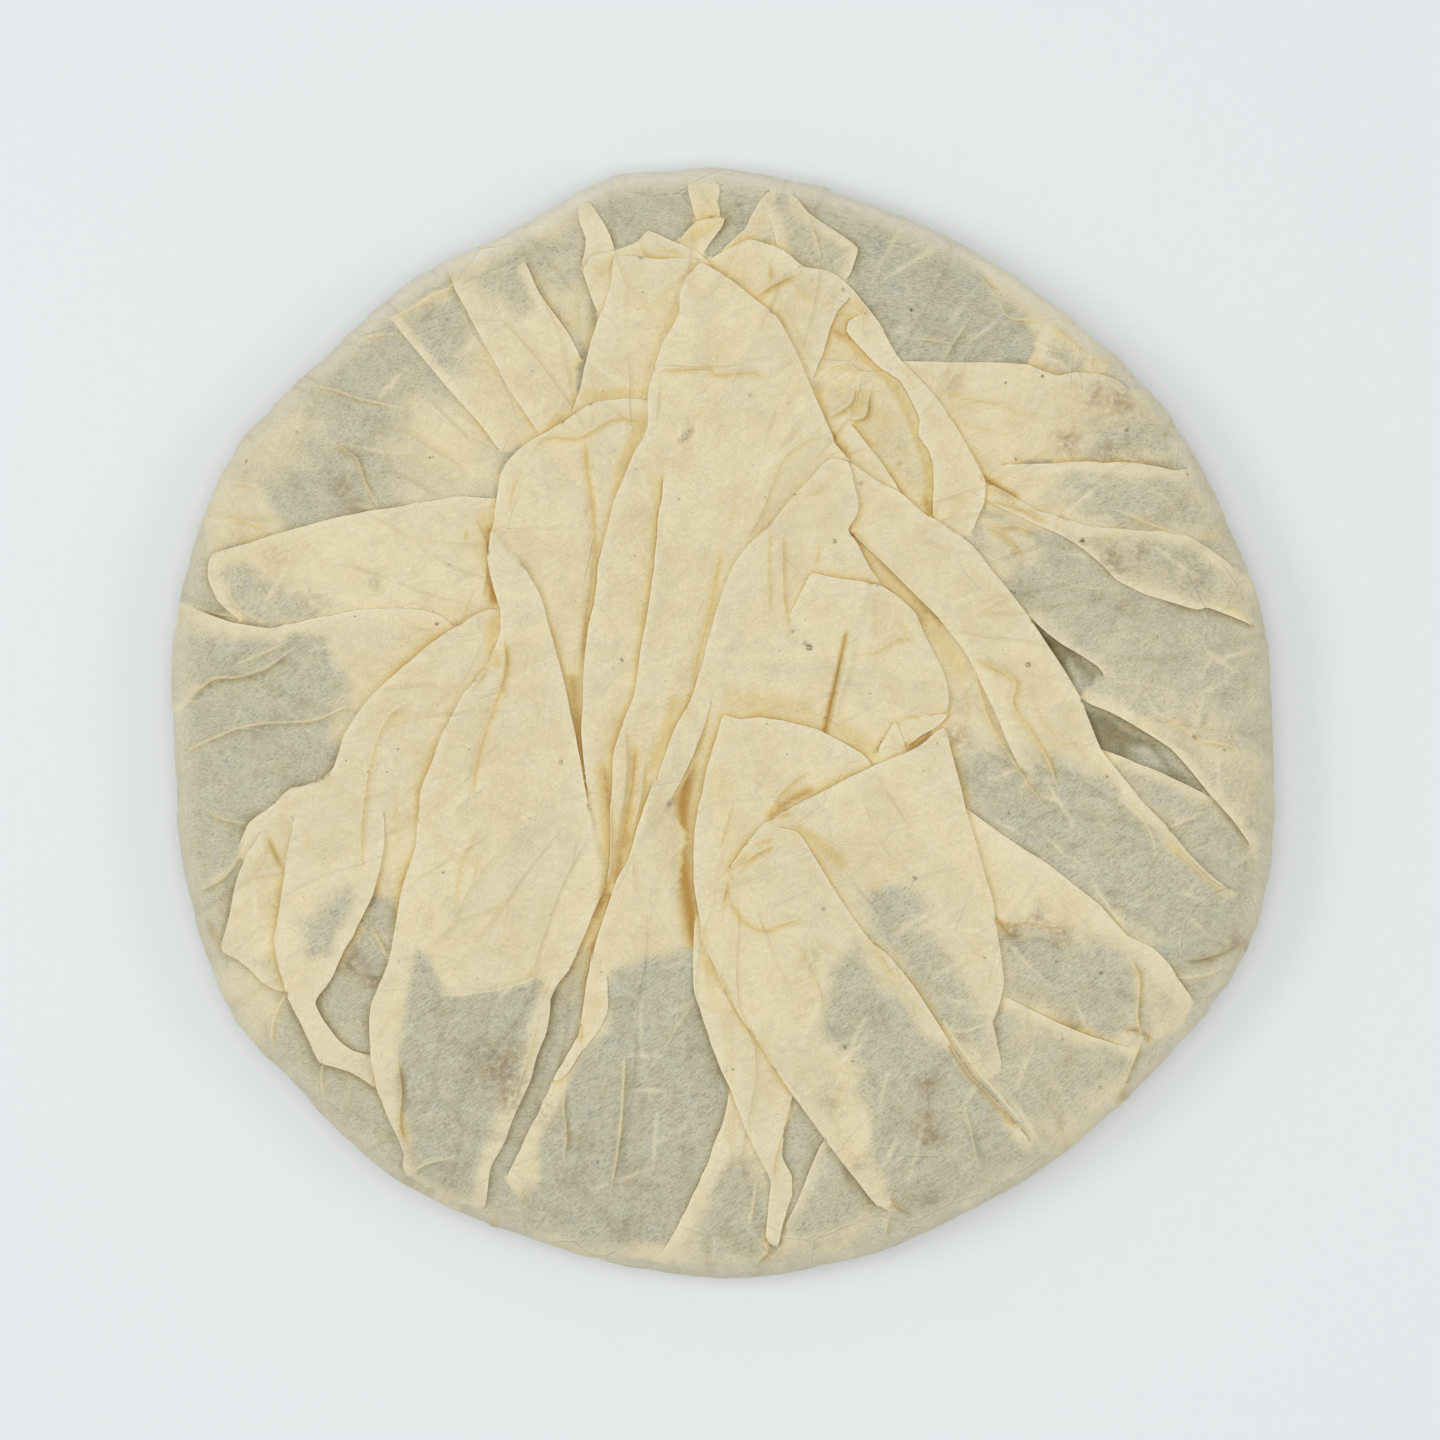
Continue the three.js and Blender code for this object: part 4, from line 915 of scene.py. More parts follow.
def lay_diagonal_band(paper):
    """The long band from the crown to the right rim, and the bands below it."""
    paper.leaf(1.0, 20,
               [(96, -31.7), (94, -31), (90, -28), (86, -24), (82, -19), (78, -15), (74, -10), (70, -5),
                (68, 0), (66, 5), (63, 10), (60, 14.5), (56, 20.5), (53, 24.5), (50, 28), (46.5, 32.5),
                (42, 36), (37, 39), (33, 42.5), (29, 44.5), (24, 48), (19, 53), (14, 48), (23, 36.2),
                (30, 29.5), (36, 23.5), (40, 19.5), (45, 13), (47, 9), (50, 3), (53, -4), (56, -10)],
               [(50, -18), (60, -30), (72, -42), (90, -40)], grain=-40, gap=0.5, gap_width=1.4)
    lay(paper.window,
        ([(44, -6), (54, -4), (66, -8), (74, -12), (83, -22), (98, -32), (95, -46), (76, -40), (62, -30),
          (46, -18)], 0.85, 5),
        ([(40, 12), (45, 8), (50, -6), (44, -2)], 0.3, 4))
    paper.spot(43.7, -3.2, 2.2, 0.7)
    lay(paper.shade,
        ([(24, 35.4), (30, 29.2), (36, 23.2), (41, 18)], 1.0, 0.45),
        ([(36, 22), (37.5, 18.5)], 0.5, 1.8))
    lay(paper.crease,
        ([(46, 12.6), (54, 7.6), (53.4, 3.8), (56.8, -1.5), (60.2, -7.2), (62, -12)], 0.6, 0.5, 0.35,
          1.2),
        ([(46.3, 10.5), (49, 1), (53, -6), (57, -12), (60, -16)], 0.5, 0.5, 0.3, 1.0),
        ([(57, 2), (63, -3), (70, -9)], 0.35, 0.35, 0.15, 0.8),
        ([(55, 4.5), (61, 1.5), (65, -2.5)], 0.1, 0.15, 0.05),
        ([(74, -12.4), (76.3, -16.3), (78.8, -19.7), (80.2, -24.2)], 0.3, 0.5, 0.12, 0.7),
        ([(81, -21), (86, -25.5), (91, -30), (95, -31.5)], 0.3, 0.5, 0.3),
        ([(42, 36), (40, 30), (36, 27)], 0.08, 0, 0.06))
    paper.furrow([(30, 27), (35, 22), (39, 17.5), (44, 10)], 0.5, 2.4, 0.35)
    paper.crease([(38, 20), (42, 12), (45, 4), (44, -4)], -0.2, 0, 0.12)
    paper.leaf(0.8, 13,
               [(87.5, -51.5), (84.5, -47.5), (83, -45), (80, -42), (75, -39.5), (70, -34), (65, -30),
                (60, -26), (55, -23), (50, -19.5), (44, -15)],
               [(46, -40), (54, -56), (76, -62), (86, -56)], grain=-35, gap=0.4, edge_width=2.4)
    lay(paper.window,
        ([(52, -38), (60, -38), (74, -42), (80, -50), (78, -60), (64, -56), (52, -49)], 0.85, 5),
        ([(78, -46), (84, -50), (84, -56), (78, -56)], 0.45, 3))
    lay(paper.spot,
        (58.6, -36, 2.4, 0.8), (53.6, -39.2, 2.0, 1.0), (62.6, -39.5, 2.4, 0.8), (96, -41, 2.6, 0.8),
        (90.5, -44, 1.3, 0.5))
    paper.shade([(75, -56.8), (77.3, -57.2), (79.3, -58.7)], 0.9, 0.5)
    lay(paper.crease,
        ([(49.5, -35), (52, -38), (54, -40)], -0.3, 0, 0.6),
        ([(49.5, -35), (53, -36.8), (57, -36.6), (61, -37.6), (66, -36.8)], 0.3, 0.4),
        ([(62, -38), (64, -40.2), (66, -41.8)], 0.25, 0.3, 0.25),
        ([(53, -41), (58, -39.5), (64, -42)], 0.15, 0.15),
        ([(55, -46.5), (61, -49)], 0.12, 0.25, 0),
        ([(75, -43), (77, -47), (77, -51), (76.8, -55), (78, -58.5)], 0.45, 0.6, 0.35),
        ([(71, -49), (74, -52)], 0.12, 0.3, 0),
        ([(85, -44), (90, -43.5), (95, -41.5), (98, -39.5)], 0.3, 0.2, 0.4),
        ([(84.5, -47.5), (90, -46.7), (94, -45)], 0.3, 0.5, 0.15))
    paper.leaf(0.6, 10,
               [(77, -60.7), (75, -60.3), (68, -58), (62, -55.5), (58, -53.5), (54, -51.6), (49, -49)],
               [(48, -66), (58, -82), (72, -73), (76, -66)], veil=0.72, grain=-40, gap=0.4)
    lay(paper.window,
        ([(53, -53), (60, -56), (56, -62), (51, -60)], 0.5, 4),
        ([(50, -72), (60, -82), (74, -72), (76, -63), (66, -72)], 0.45, 4))
    lay(paper.crease,
        ([(78, -58.5), (76.5, -62), (75, -66), (73, -70), (72, -72)], 0.45, 0.5, 0.45),
        ([(78.2, -58.8), (80, -59)], 0.3, 0.2, 0.7),
        ([(57.5, -60), (56, -64), (54.5, -67.5)], 0.25, 0.35, 0.1),
        ([(51, -63), (53, -63.8), (55, -63.5)], 0.2, 0.35, 0))


def lay_crown(paper):
    """The large pointed leaf in the middle, and the pleats down its lower part."""
    paper.leaf(1.2, 34,
               [(20.8, 51), (20.4, 53), (19, 56), (16.5, 61.5), (14.5, 66.5), (12, 71.5), (10, 75),
                (5, 79), (2, 81.5), (-1, 83.5), (-4, 85), (-6.5, 82.5), (-7.8, 79.5), (-8, 75.5), (-10, 72),
                (-12, 68), (-13.5, 63), (-14, 60), (-14, 55), (-16, 50.5), (-18.5, 45), (-20.5, 40),
                (-22, 35), (-22.8, 30), (-24, 22.5), (-25, 16), (-26, 7), (-26.2, -1), (-26, -6),
                (-25, -13)],
               [(-23, -32), (-18, -30), (-9, -14), (2, 5), (12, 38), (16, 43), (19.5, 47.5)], grain=80,
               gap=0.45, gap_width=1.4, edge=0.4)
    paper.window([(3, 63), (6, 64), (8, 62), (6, 60)], 0.12, 3)
    lay(paper.crease,
        ([(-12.7, 65.3), (-9, 65.5), (-6, 65.6), (-3, 66.1), (-2.4, 65.2), (-1.5, 64.6), (1, 64.8),
          (5, 65.1), (9, 64)], 0.3, 0.15, 0.3),
        ([(19, 53.7), (14.5, 52), (11.1, 49.1), (8.6, 43.5), (6.9, 38.9), (3.5, 33)], 0.3, 0.25, 0.2,
          1.0),
        ([(3, 47), (1, 38), (-1, 32)], 0.1, 0, 0.12),
        ([(-0.5, 33), (-3, 20), (-5.5, 10), (-6, 5.5), (-9, 1)], -0.3, 0, 0.35),
        ([(9, 50), (12, 53), (16, 54)], 0.12, 0.1, 0.12))
    paper.leaf(0.6, 8,
               [(-10.8, 46.5), (-11.4, 42), (-12, 38), (-12.5, 30), (-14, 20), (-15.5, 12), (-16.5, 5),
                (-19, -1), (-20, -5), (-20.8, -15), (-21, -25), (-21.5, -31)],
               [(-19, -30), (-15, -14), (-11, 0), (-6, 24), (-4, 44)], grain=85, gap=0.5, gap_width=1.8,
               edge=0.3)
    paper.shade([(-22.5, -8), (-21.8, -16), (-21.4, -26)], 0.6, 1.2)
    lay(paper.crease,
        ([(-16.6, -3), (-17, -10), (-18.3, -18), (-19.5, -26)], -0.35, 0, 0.5),
        ([(-14.6, -6), (-15.4, -14), (-17, -20)], 0.3, 0.2, 0.3),
        ([(-18.4, 0), (-18, -8), (-18.8, -16)], 0.25, 0.15))
    paper.furrow([(-17.5, -16), (-18.6, -22), (-20, -29)], 0.5, 1.3, 0.7)
    paper.furrow([(-9, 4), (-11, -3), (-13, -8)], 0.35, 1.4, 0.45)


def lay_middle(paper):
    """The leaf that lies over the crown leaf's foot, and the small flap on it."""
    paper.leaf(0.9, 26,
               [(30.5, 23), (29.5, 25.5), (27, 29), (25, 33), (23, 36), (24.3, 38), (25, 40), (24.3, 44),
                (23, 48.3), (20, 48.7), (16, 45), (13, 42), (9.5, 37.7), (5, 33.5), (2, 29), (0, 25),
                (-2, 18), (-4, 10), (-5.5, 5), (-8.5, 0), (-10.5, -5), (-12.3, -10), (-14.3, -15),
                (-16, -21),
                (-13.5, -20.5), (-11.2, -17), (-9.6, -14), (-7.4, -9.5), (-5.3, -5), (-3, 2), (-2.3, 4)],
               [(2, 1), (10, -6), (24, -6)], grain=75, gap=0.5, gap_width=1.6, edge=0.35)
    paper.window([(-2, 20), (4, 20), (5, 6), (1, 6), (-2, 12)], 0.2, 4)

    # The bottom leaf's own edge runs on up to the middle leaf
    lay(paper.shade,
        ([(-22, -9), (-21.3, -14), (-20.8, -19), (-20.9, -25), (-21.6, -30), (-23.5, -36)], 0.95, 0.75),
        ([(-17.6, -21), (-18.9, -25), (-19.8, -28)], 0.9, 0.8))
    paper.leaf(0.8, 14,
               [(-12.6, -10.4), (-13.6, -12.9), (-15, -17), (-16.5, -21.3), (-17.9, -25.5),
                (-19.5, -29.2), (-20.9, -32.6), (-22.3, -36.8), (-23.5, -40.2), (-24.3, -43.2)],
               [(-15, -42), (-9, -34), (-7, -21), (-9.6, -14.2)], grain=75, gap=0.55, gap_width=1.4,
               edge=0.4)
    paper.window([(8, 18), (16, 18), (16, 4), (10, 4)], 0.18, 5)
    lay(paper.shade,
        ([(2, 4.5), (10, 3.5), (17, 2)], 0.32, 2.6),
        ([(9, 2.5), (11, 3)], 0.3, 1.6))
    lay(paper.crease,
        ([(11, 36), (11, 28), (11.5, 21), (14, 13)], 0.3, 0.15, 0.25),
        ([(8.5, 37), (8.3, 28), (8.5, 20)], 0.2, 0.1),
        ([(17.5, 34), (17, 28)], 0.25, 0.1, 0.3),
        ([(13, 42), (17, 43), (21, 48)], 0.15, 0.1, 0.15),
        ([(-6, 4.2), (-7.5, 2.5), (-9, 0.8)], 0.2, 0, 0.5))
    paper.leaf(0.8, 24,
               [(12, 20), (14, 23.5), (16.5, 27.7), (20, 27), (25, 26.3), (29.5, 25.3), (33, 23),
                (35.5, 20.5), (37, 17), (39, 13), (41, 9), (41.8, 5), (41.5, 2), (39.5, -2)],
               [(32, -8), (22, -5), (15, 6)], grain=70, gap=0.4, edge=0.4)
    paper.shade([(22, -1), (26, -4), (29, -5)], 0.35, 2.4)
    lay(paper.crease,
        ([(25, 13.5), (27, 13.2), (29, 13.8), (33, 16), (36, 15)], 0.25, 0.15, 0.25),
        ([(31.5, 1.2), (35, 1.6), (38, 1.5), (41, 2.5)], 0.25, 0.2, 0.25),
        ([(30, 20), (33, 18), (34.5, 14)], 0.15, 0, 0.15),
        ([(27.5, 26), (27.8, 20), (28, 14)], 0.1, 0, 0.12),
        ([(30, 9), (31.5, 4), (32, 1)], 0.1, 0, 0.1))
    paper.slit((22.9, 17), (18.9, -1.5), (0.12, 0.75), 0.7, 1.1)
    paper.crease([(24.2, 17), (23.4, 11.5), (21.4, 4.5), (20.4, -0.5)], 0.5, 0.3, 0, 1.2)
    paper.leaf(0.5, 8, [(33.9, -5.5), (33.4, -3.4), (31.7, 0.4), (29.7, -3.4), (27.4, -7.8)],
               [(31, -10)], grain=60, gap=0.6)
    paper.leaf(0.4, 8, [(34.2, -4.2), (36, -2.6), (38.6, -1.2), (41.6, 1.7), (38, 1.5), (33.6, 0.9)],
               [(32.6, -1.4)], grain=10, gap=0.3)
    paper.shade([(34.2, -4.6), (36, -3.8), (38.5, -2.4)], 1.0, 0.9)


def lay_lower_right(paper):
    """The large leaf of the lower right, and the flap that closes the pile."""
    paper.leaf(0.9, 26,
               [(29.5, -9), (28, -8), (25.5, -5.5), (22, -3.5), (18, -1.5), (15, -0.5), (10, 0.5), (7, 1),
                (3, 0.8), (0, 1.5), (-0.8, -1), (-1.5, -4), (-3, -9), (-4.5, -15), (-5.3, -22),
                (-5.3, -30), (-4.4, -36), (-3.8, -40), (-2, -44), (0, -49), (3, -54), (7, -60), (12, -67.5),
                (16, -73), (20, -78.5), (25, -85), (28.5, -89.5), (30.5, -90.7)],
               [(46, -90), (50, -76), (34, -50), (30, -20)], grain=60, gap=0.55, gap_width=1.5, edge=0.5,
               edge_width=2.0)
    tongue_patch = [(23.6, -40.3), (20.3, -45.4), (19.1, -50.4), (19.7, -57.2), (24.8, -60.6), (27, -63),
                    (25.3, -67.4), (27.6, -73), (27.6, -80), (31, -84.3), (31, -88.3), (36, -93),
                    (62, -82), (49.6, -69.6), (42.9, -60.6), (39, -57.2), (34.9, -53.3), (31.6, -49.3),
                    (27.5, -43.7)]
    lay(paper.window,
        (tongue_patch, 0.86, 3.6),
        ([(10, -52), (14, -52), (15, -58), (11, -60)], 0.25, 4),
        ([(3, -7), (6, -9), (4, -14), (1, -12)], 0.2, 3))
    lay(paper.spot,
        (38, -88, 2.4, 0.6), (22, -57, 2, 0.4), (20, -70, 3.2, 0.5), (25, -82, 2, 0.55),
        (16.5, -43, 2.5, 0.3))
    lay(paper.shade,
        ([(9, -17), (12, -14.6), (16, -12.6)], 0.9, 1.0),
        ([(0, -10), (0.5, -16), (2, -24)], 0.18, 3),
        ([(-3.8, -38), (-2.6, -43), (-1, -48)], 0.4, 0.8))
    lay(paper.crease,
        ([(8.5, -15.5), (10, -13.5), (12, -11.5), (16, -8.3)], 0.4, 0.3, 0.35),
        ([(-1.2, -24.5), (0.3, -26), (1, -27.3)], 0.35, 0.4, 0.45),
        ([(-1.2, -24.5), (-0.6, -22), (0.2, -19.4), (1.9, -13.7)], 0.25, 0.3, 0.25),
        ([(0.6, -28), (0.3, -31), (-0.2, -33), (-0.9, -35)], 0.35, 0.4, 0.45),
        ([(0.8, -28), (3, -29.5)], 0.25, 0, 0.5),
        ([(0.4, -31.5), (1.1, -33.5), (3.3, -36.3), (5.6, -37.6), (8.1, -38.3), (10.5, -37.2),
          (15.5, -36)], 0.3, 0.35, 0.35),
        ([(12.5, -39.5), (15, -44), (17, -48), (19, -53)], 0.25, 0.1, 0.15),
        ([(44, -70), (45, -73), (46, -76), (48, -84)], 0.3, 0.35, 0.1),
        ([(-1.5, -45), (2, -53), (6.5, -59.5), (10, -64.5)], 0.25, 0, 0.28),
        ([(30.5, -87), (31.5, -89), (33, -90), (36.5, -92)], 0.35, 0.4, 0.4),
        ([(29, -90), (31, -89.5), (32, -87.5)], 0.3, 0.3, 0.3),
        ([(31, -91), (30.3, -94), (30, -97)], 0.3, 0.4, 0.25))
    paper.leaf(1.0, 26,
               [(51.5, -64.5), (51.4, -62), (50.8, -60), (50.2, -55.5), (51.3, -51.5), (52, -48),
                (51.2, -42), (50, -33), (47, -23), (45, -16), (43, -8), (41, -1), (36, -4.3), (28, -8),
                (20, -12), (13, -15.6), (8.3, -18.3), (6, -20.6), (4, -23), (2, -26), (0.8, -27.3)],
               [(10, -34), (24, -37), (35, -49), (43, -62), (47, -67)], grain=40, gap=0.5, gap_width=1.4,
               edge=0.55, edge_width=2.2)
    lay(paper.window,
        ([(30.4, -28.4), (26.5, -30.7), (26.5, -37.4), (31.6, -43.6), (37.2, -51.6), (42.9, -57.2),
          (51.5, -65), (52.5, -55.5), (47.9, -52.7), (45.1, -48.2), (40.6, -43.7), (38.3, -39.1),
          (38.9, -32.9), (36.1, -29.5)], 0.84, 4.2),
        ([(22, -8), (28, -12), (30, -16), (24, -16)], 0.12, 4))
    lay(paper.shade,
        ([(1, -27), (4, -25)], 0.6, 1.0),
        ([(8.5, -18), (12, -16.8)], 0.45, 0.8))
    lay(paper.crease,
        ([(9, -17.5), (11, -16.8), (13.5, -16)], 0.3, 0.2, 0.4),
        ([(4, -23), (7, -21.8), (12, -20.5)], 0.3, 0.3, 0.3),
        ([(2.2, -27.9), (5, -24.9), (8, -23.2), (11.8, -22)], 0.3, 0.3, 0.4),
        ([(20, -22), (28, -25), (34, -26)], 0.1, 0, 0.08),
        ([(41.7, -56.6), (44.5, -57.2), (47.4, -56.1), (50.5, -55.4)], 0.2, 0.45, 0.1),
        ([(44, -16), (47, -27), (49.5, -38)], 0.12, 0.1, 0.1))
    paper.leaf(0.4, 9,
               [(10, -19.5), (14, -20.5), (17, -25), (20, -30), (24, -36), (27, -40), (31, -43.5),
                (35, -48.5), (40, -56), (43, -61), (46, -65.5), (50, -69.5), (54, -74), (58, -79)],
               [(54, -85), (46, -80), (32, -60), (18, -40), (8, -28)], grain=60, gap=0.45, edge_width=1.0,
               edge=0.35)
    paper.window(tongue_patch, 0.86, 3.6)
    lay(paper.spot,
        (38, -76, 3.2, 0.9), (38.3, -67, 2.2, 0.9), (29, -55, 2.4, 0.5))
    lay(paper.shade,
        ([(42, -59.8), (45.6, -65.2), (49.6, -69.8), (54, -74.6)], 1.2, 0.45),
        ([(14, -20), (18, -22.5), (22, -26)], 0.45, 1.5))
    lay(paper.crease,
        ([(41, -55.5), (43.4, -59.3), (47, -64.2), (51, -68.8), (55.3, -74)], 0.35, 0.7, 0.1, 0.8),
        ([(27, -40), (30, -45), (32.5, -49)], 0.3, 0.4, 0.25),
        ([(44.5, -70.5), (45.5, -74), (46.8, -80), (47.3, -83)], 0.25, 0.35, 0.15))


def lay_the_paper():
    """Every leaf, from the single layer at the rim up to the flap that closes the pile."""
    paper = PaperMap()
    for lay_some in (lay_outer_panels, lay_top, lay_east, lay_west, lay_crown_neighbours,
                     lay_tongue_and_left_leaf, lay_bottom, lay_right_of_crown, lay_diagonal_band,
                     lay_crown, lay_middle, lay_lower_right):
        lay_some(paper)
    paper.fine_creases(FINE_CREASES, 81)
    return paper


# Specks of leaf that show in the paper: place, radius and darkness
SPECKS = [
    (-7, 53, 0.9, 0.6), (-6, 54, 0.7, 0.5), (-8, 52.3, 0.6, 0.4), (16, 14, 0.7, 0.9), (15.3, 14.8, 0.5, 0.7),
    (13, 17, 0.4, 0.6), (20.7, 33.7, 0.45, 0.9), (35.5, -28.8, 0.5, 0.9), (18.6, -34.5, 0.4, 0.9),
    (-53, 18.4, 0.4, 1.0), (-18.8, 11.7, 0.4, 0.8), (-30, -7.3, 0.5, 0.6), (54.5, 49, 0.4, 1.0),
    (74.8, 54.3, 0.4, 0.9), (56.5, 10.8, 0.55, 0.9), (66.5, 33.7, 0.6, 1.0), (54, 24.2, 0.35, 0.9),
    (35, 76.7, 0.4, 1.0), (-89, 48.8, 0.35, 0.8), (-79.3, 54, 0.35, 0.7), (25.5, 44.3, 0.5, 0.5),
    (22.3, 80.4, 0.4, 0.8), (-24.6, 59, 0.35, 0.8), (-15.2, 86, 0.35, 0.8), (5.2, 60.8, 0.5, 0.45),
    (-8.3, 41.5, 0.35, 0.5), (-10, -15, 0.6, 0.7), (-23.3, -81.5, 0.45, 0.8), (22.6, -60, 0.4, 0.8),
    (70, -46.4, 0.35, 0.9), (70.2, -67.8, 0.4, 0.8), (53, -16.8, 0.35, 0.8), (71.2, -9.9, 0.35, 0.8),
    (87.2, -2.6, 0.35, 0.9), (93, -5, 0.3, 0.8), (59.2, 64.2, 0.35, 0.9), (52.3, 63, 0.3, 0.7),
    (86.5, 46.3, 0.35, 0.8), (-2.2, 94, 0.4, 0.8), (-54.4, 49.2, 0.3, 0.7), (-51.8, -27.6, 0.3, 0.7),
]


def filed(points, size):
    """Points by the square cell that each lies in."""
    cells = {}
    for point in points:
        cells.setdefault((int(point[0] // size), int(point[1] // size)), []).append(point)
    return cells


def neighbours(cells, x, y, size):
    """The filed points in a place's own cell and the eight round it."""
    i = int(x // size)
    j = int(y // size)
    return (point for di in (-1, 0, 1) for dj in (-1, 0, 1) for point in cells.get((i + di, j + dj), ()))


def thin_out(points, taken, spacing):
    """Drops the points that lie within the spacing of a taken one."""
    cells = filed(taken, spacing)
    square = spacing * spacing
    return [(x, y) for x, y in points
            if all((x - qx) ** 2 + (y - qy) ** 2 > square for qx, qy in neighbours(cells, x, y, spacing))]


def lattice(spacing, share_limit, seed):
    """Slightly uneven points at a spacing, inside a share of the rim's radius."""
    rows = np.arange(-MAP_HALF, MAP_HALF, spacing * math.sqrt(0.75))
    columns = np.arange(-MAP_HALF, MAP_HALF, spacing)
    x, y = np.meshgrid(columns, rows)
    x[1::2] += spacing / 2
    points = np.stack([x.ravel(), y.ravel()], 1)
    points += np.random.default_rng(seed).uniform(-0.12, 0.12, points.shape) * spacing
    reach = share_of_radius(*points.T) < share_limit - 0.6 * spacing / 100
    return points[reach]


def left_of(line):
    """Directions to the left of a line at each of its points."""
    ahead = np.gradient(line, axis=0)
    ahead /= np.hypot(*ahead.T)[:, None] + 1e-9
    return np.stack([-ahead[:, 1], ahead[:, 0]], 1)


class Rows:
    """Rows of points along the folds and creases, what each point is, and the edges between them."""

    def __init__(self):
        self.places = []
        self.facts = []
        self.links = []

    def add(self, kind, line, beside, offset, shows, values):
        """One row beside a line. It stops where the line doesn't show."""
        previous = None
        for p, n, seen, value in zip(line, beside, shows, values):
            if not seen:
                previous = None
                continue
            here = len(self.places)
            self.places.append(tuple(p + n * offset))
            self.facts.append((kind, n[0], n[1], value))
            if previous is not None:
                self.links.append((previous, here))
            previous = here

    def add_folds(self, paper):
        """Four rows along every fold that shows. A point's value is its step, if it has room."""
        cells = filed([(x, y, count) for count, line, _ in paper.fold_lines for x, y in line], CROWD_CELL)

        def crowded(p, count):
            near = neighbours(cells, *p, CROWD_CELL)
            return any(other != count and (p[0] - x) ** 2 + (p[1] - y) ** 2 < CROWD_SQUARE
                       for x, y, other in near)

        for count, line, outline in paper.fold_lines:
            turn = np.cross(outline, np.roll(outline, -1, axis=0)).sum()
            inward = left_of(line) * (1 if turn > 0 else -1)
            upper = line + inward * LIP
            lower = line - inward * LIP
            step = paper.sample(paper.height, *upper.T) - paper.sample(paper.height, *lower.T)
            on_top = paper.nearest(paper.layer, *upper.T) == count
            shows = on_top & (step > SHOW_STEP) & (share_of_radius(*line.T) < ROW_EDGE)
            step = step * np.array([0.0 if crowded(p, count) else 1.0 for p in line])
            for kind, offset in ((LIP_TOP, LIP), (NOSE, 0.0), (TUCK, TUCK_ROW), (FOOT, FOOT_ROW)):
                self.add(kind, line, inward, offset, shows, step)

    def add_creases(self, paper):
        """A row along every crease that shows, and one either side of all but the faint ones. A
        point's value is the strength of its painted crest highlight."""
        for count, line, light, offsets in paper.crease_lines:
            shows = (paper.nearest(paper.layer, *line.T) <= count) & (share_of_radius(*line.T) < ROW_EDGE)
            for offset in offsets:
                kind = OPEN if offset else CREST
                self.add(kind, line, left_of(line), offset, shows, np.full(len(line), light))


def speck_points():
    """Rings of points round every speck, so that the mesh holds its outline."""
    points = []
    for x, y, radius, _ in SPECKS:
        for ring in (0, 0.5, 0.9, 1.3):
            turns = 1 if ring == 0 else 9
            for k in range(turns):
                angle = 2 * math.pi * (k + ring) / turns
                points.append((x + ring * radius * math.cos(angle), y + ring * radius * math.sin(angle)))
    return points


def speck_field(x, y):
    """Darkness of the specks at each point."""
    dark = np.zeros(np.shape(x))
    for sx, sy, radius, strength in SPECKS:
        inside = smooth_between(radius * 1.25, radius * 0.6, np.hypot(x - sx, y - sy))
        dark = np.maximum(dark, strength * inside)
    return dark


def painted_rim_light(angle):
    """Painted light on the rim: how far it is painted paler, most of all towards +Y."""
    toward = smooth_between(0.2, 1.0, np.cos(angle - math.radians(92)))
    return 0.27 + 0.63 * toward + 0.1 * soft_noise(angle * 20, 0, 6, 25)


def base_normals(x, y):
    """The direction that the cake's upper side faces at each point."""
    d = 0.4
    slope_x = (cake_top(x + d, y) - cake_top(x - d, y)) / (2 * d)
    slope_y = (cake_top(x, y + d) - cake_top(x, y - d)) / (2 * d)
    length = np.sqrt(1 + slope_x ** 2 + slope_y ** 2)
    return np.stack([-slope_x / length, -slope_y / length, 1 / length], 1)


def under_curve(share):
    """Height of the underside at a share of the radius, rounded between its given points."""
    shares, heights = zip(*UNDERSIDE)
    spread = 0.006
    places = [share + d for d in (-spread, 0, spread) if share + d <= 1]
    return float(np.mean([np.interp(place, shares, heights, left=0) for place in places]))


def ring_edges(first):
    """The edges of a closed ring of points, numbered from the first on."""
    return [(first + k, first + (k + 1) % RIM_POINTS) for k in range(RIM_POINTS)]


def sides_of(face):
    return [frozenset(pair) for pair in zip(face, face[1:] + face[:1])]


def keep_inside(faces, ring):
    """Drops the faces that fill the dents between the ring and its hull."""
    outline = {frozenset((int(ring[k - 1]), int(ring[k]))) for k in range(len(ring))}
    beside = {}
    for k, face in enumerate(faces):
        for side in sides_of(face):
            beside.setdefault(side, []).append(k)
    open_sides = [side for side in beside if len(beside[side]) == 1 and side not in outline]
    outside = set()
    while open_sides:
        for k in beside[open_sides.pop()]:
            if k not in outside:
                outside.add(k)
                open_sides += [side for side in sides_of(faces[k]) if side not in outline]
    return [face for k, face in enumerate(faces) if k not in outside]


def flat_net(points, edges, ring_start):
    """Triangles between flat points that keep the given edges and end at a ring of the points:
    their corners, the faces, which points each corner came from, and the ring's corners."""
    found = delaunay_2d_cdt([Vector(p) for p in points], edges, [], 1, 1e-4, True)
    corners, _, faces, origins = found[:4]
    ring = np.full(RIM_POINTS, -1)
    for k, sources in enumerate(origins):
        for source in sources:
            if ring_start <= source < ring_start + RIM_POINTS:
                ring[source - ring_start] = k
    faces = keep_inside([list(face) for face in faces], ring)
    return np.array([(v.x, v.y) for v in corners]), faces, origins, ring


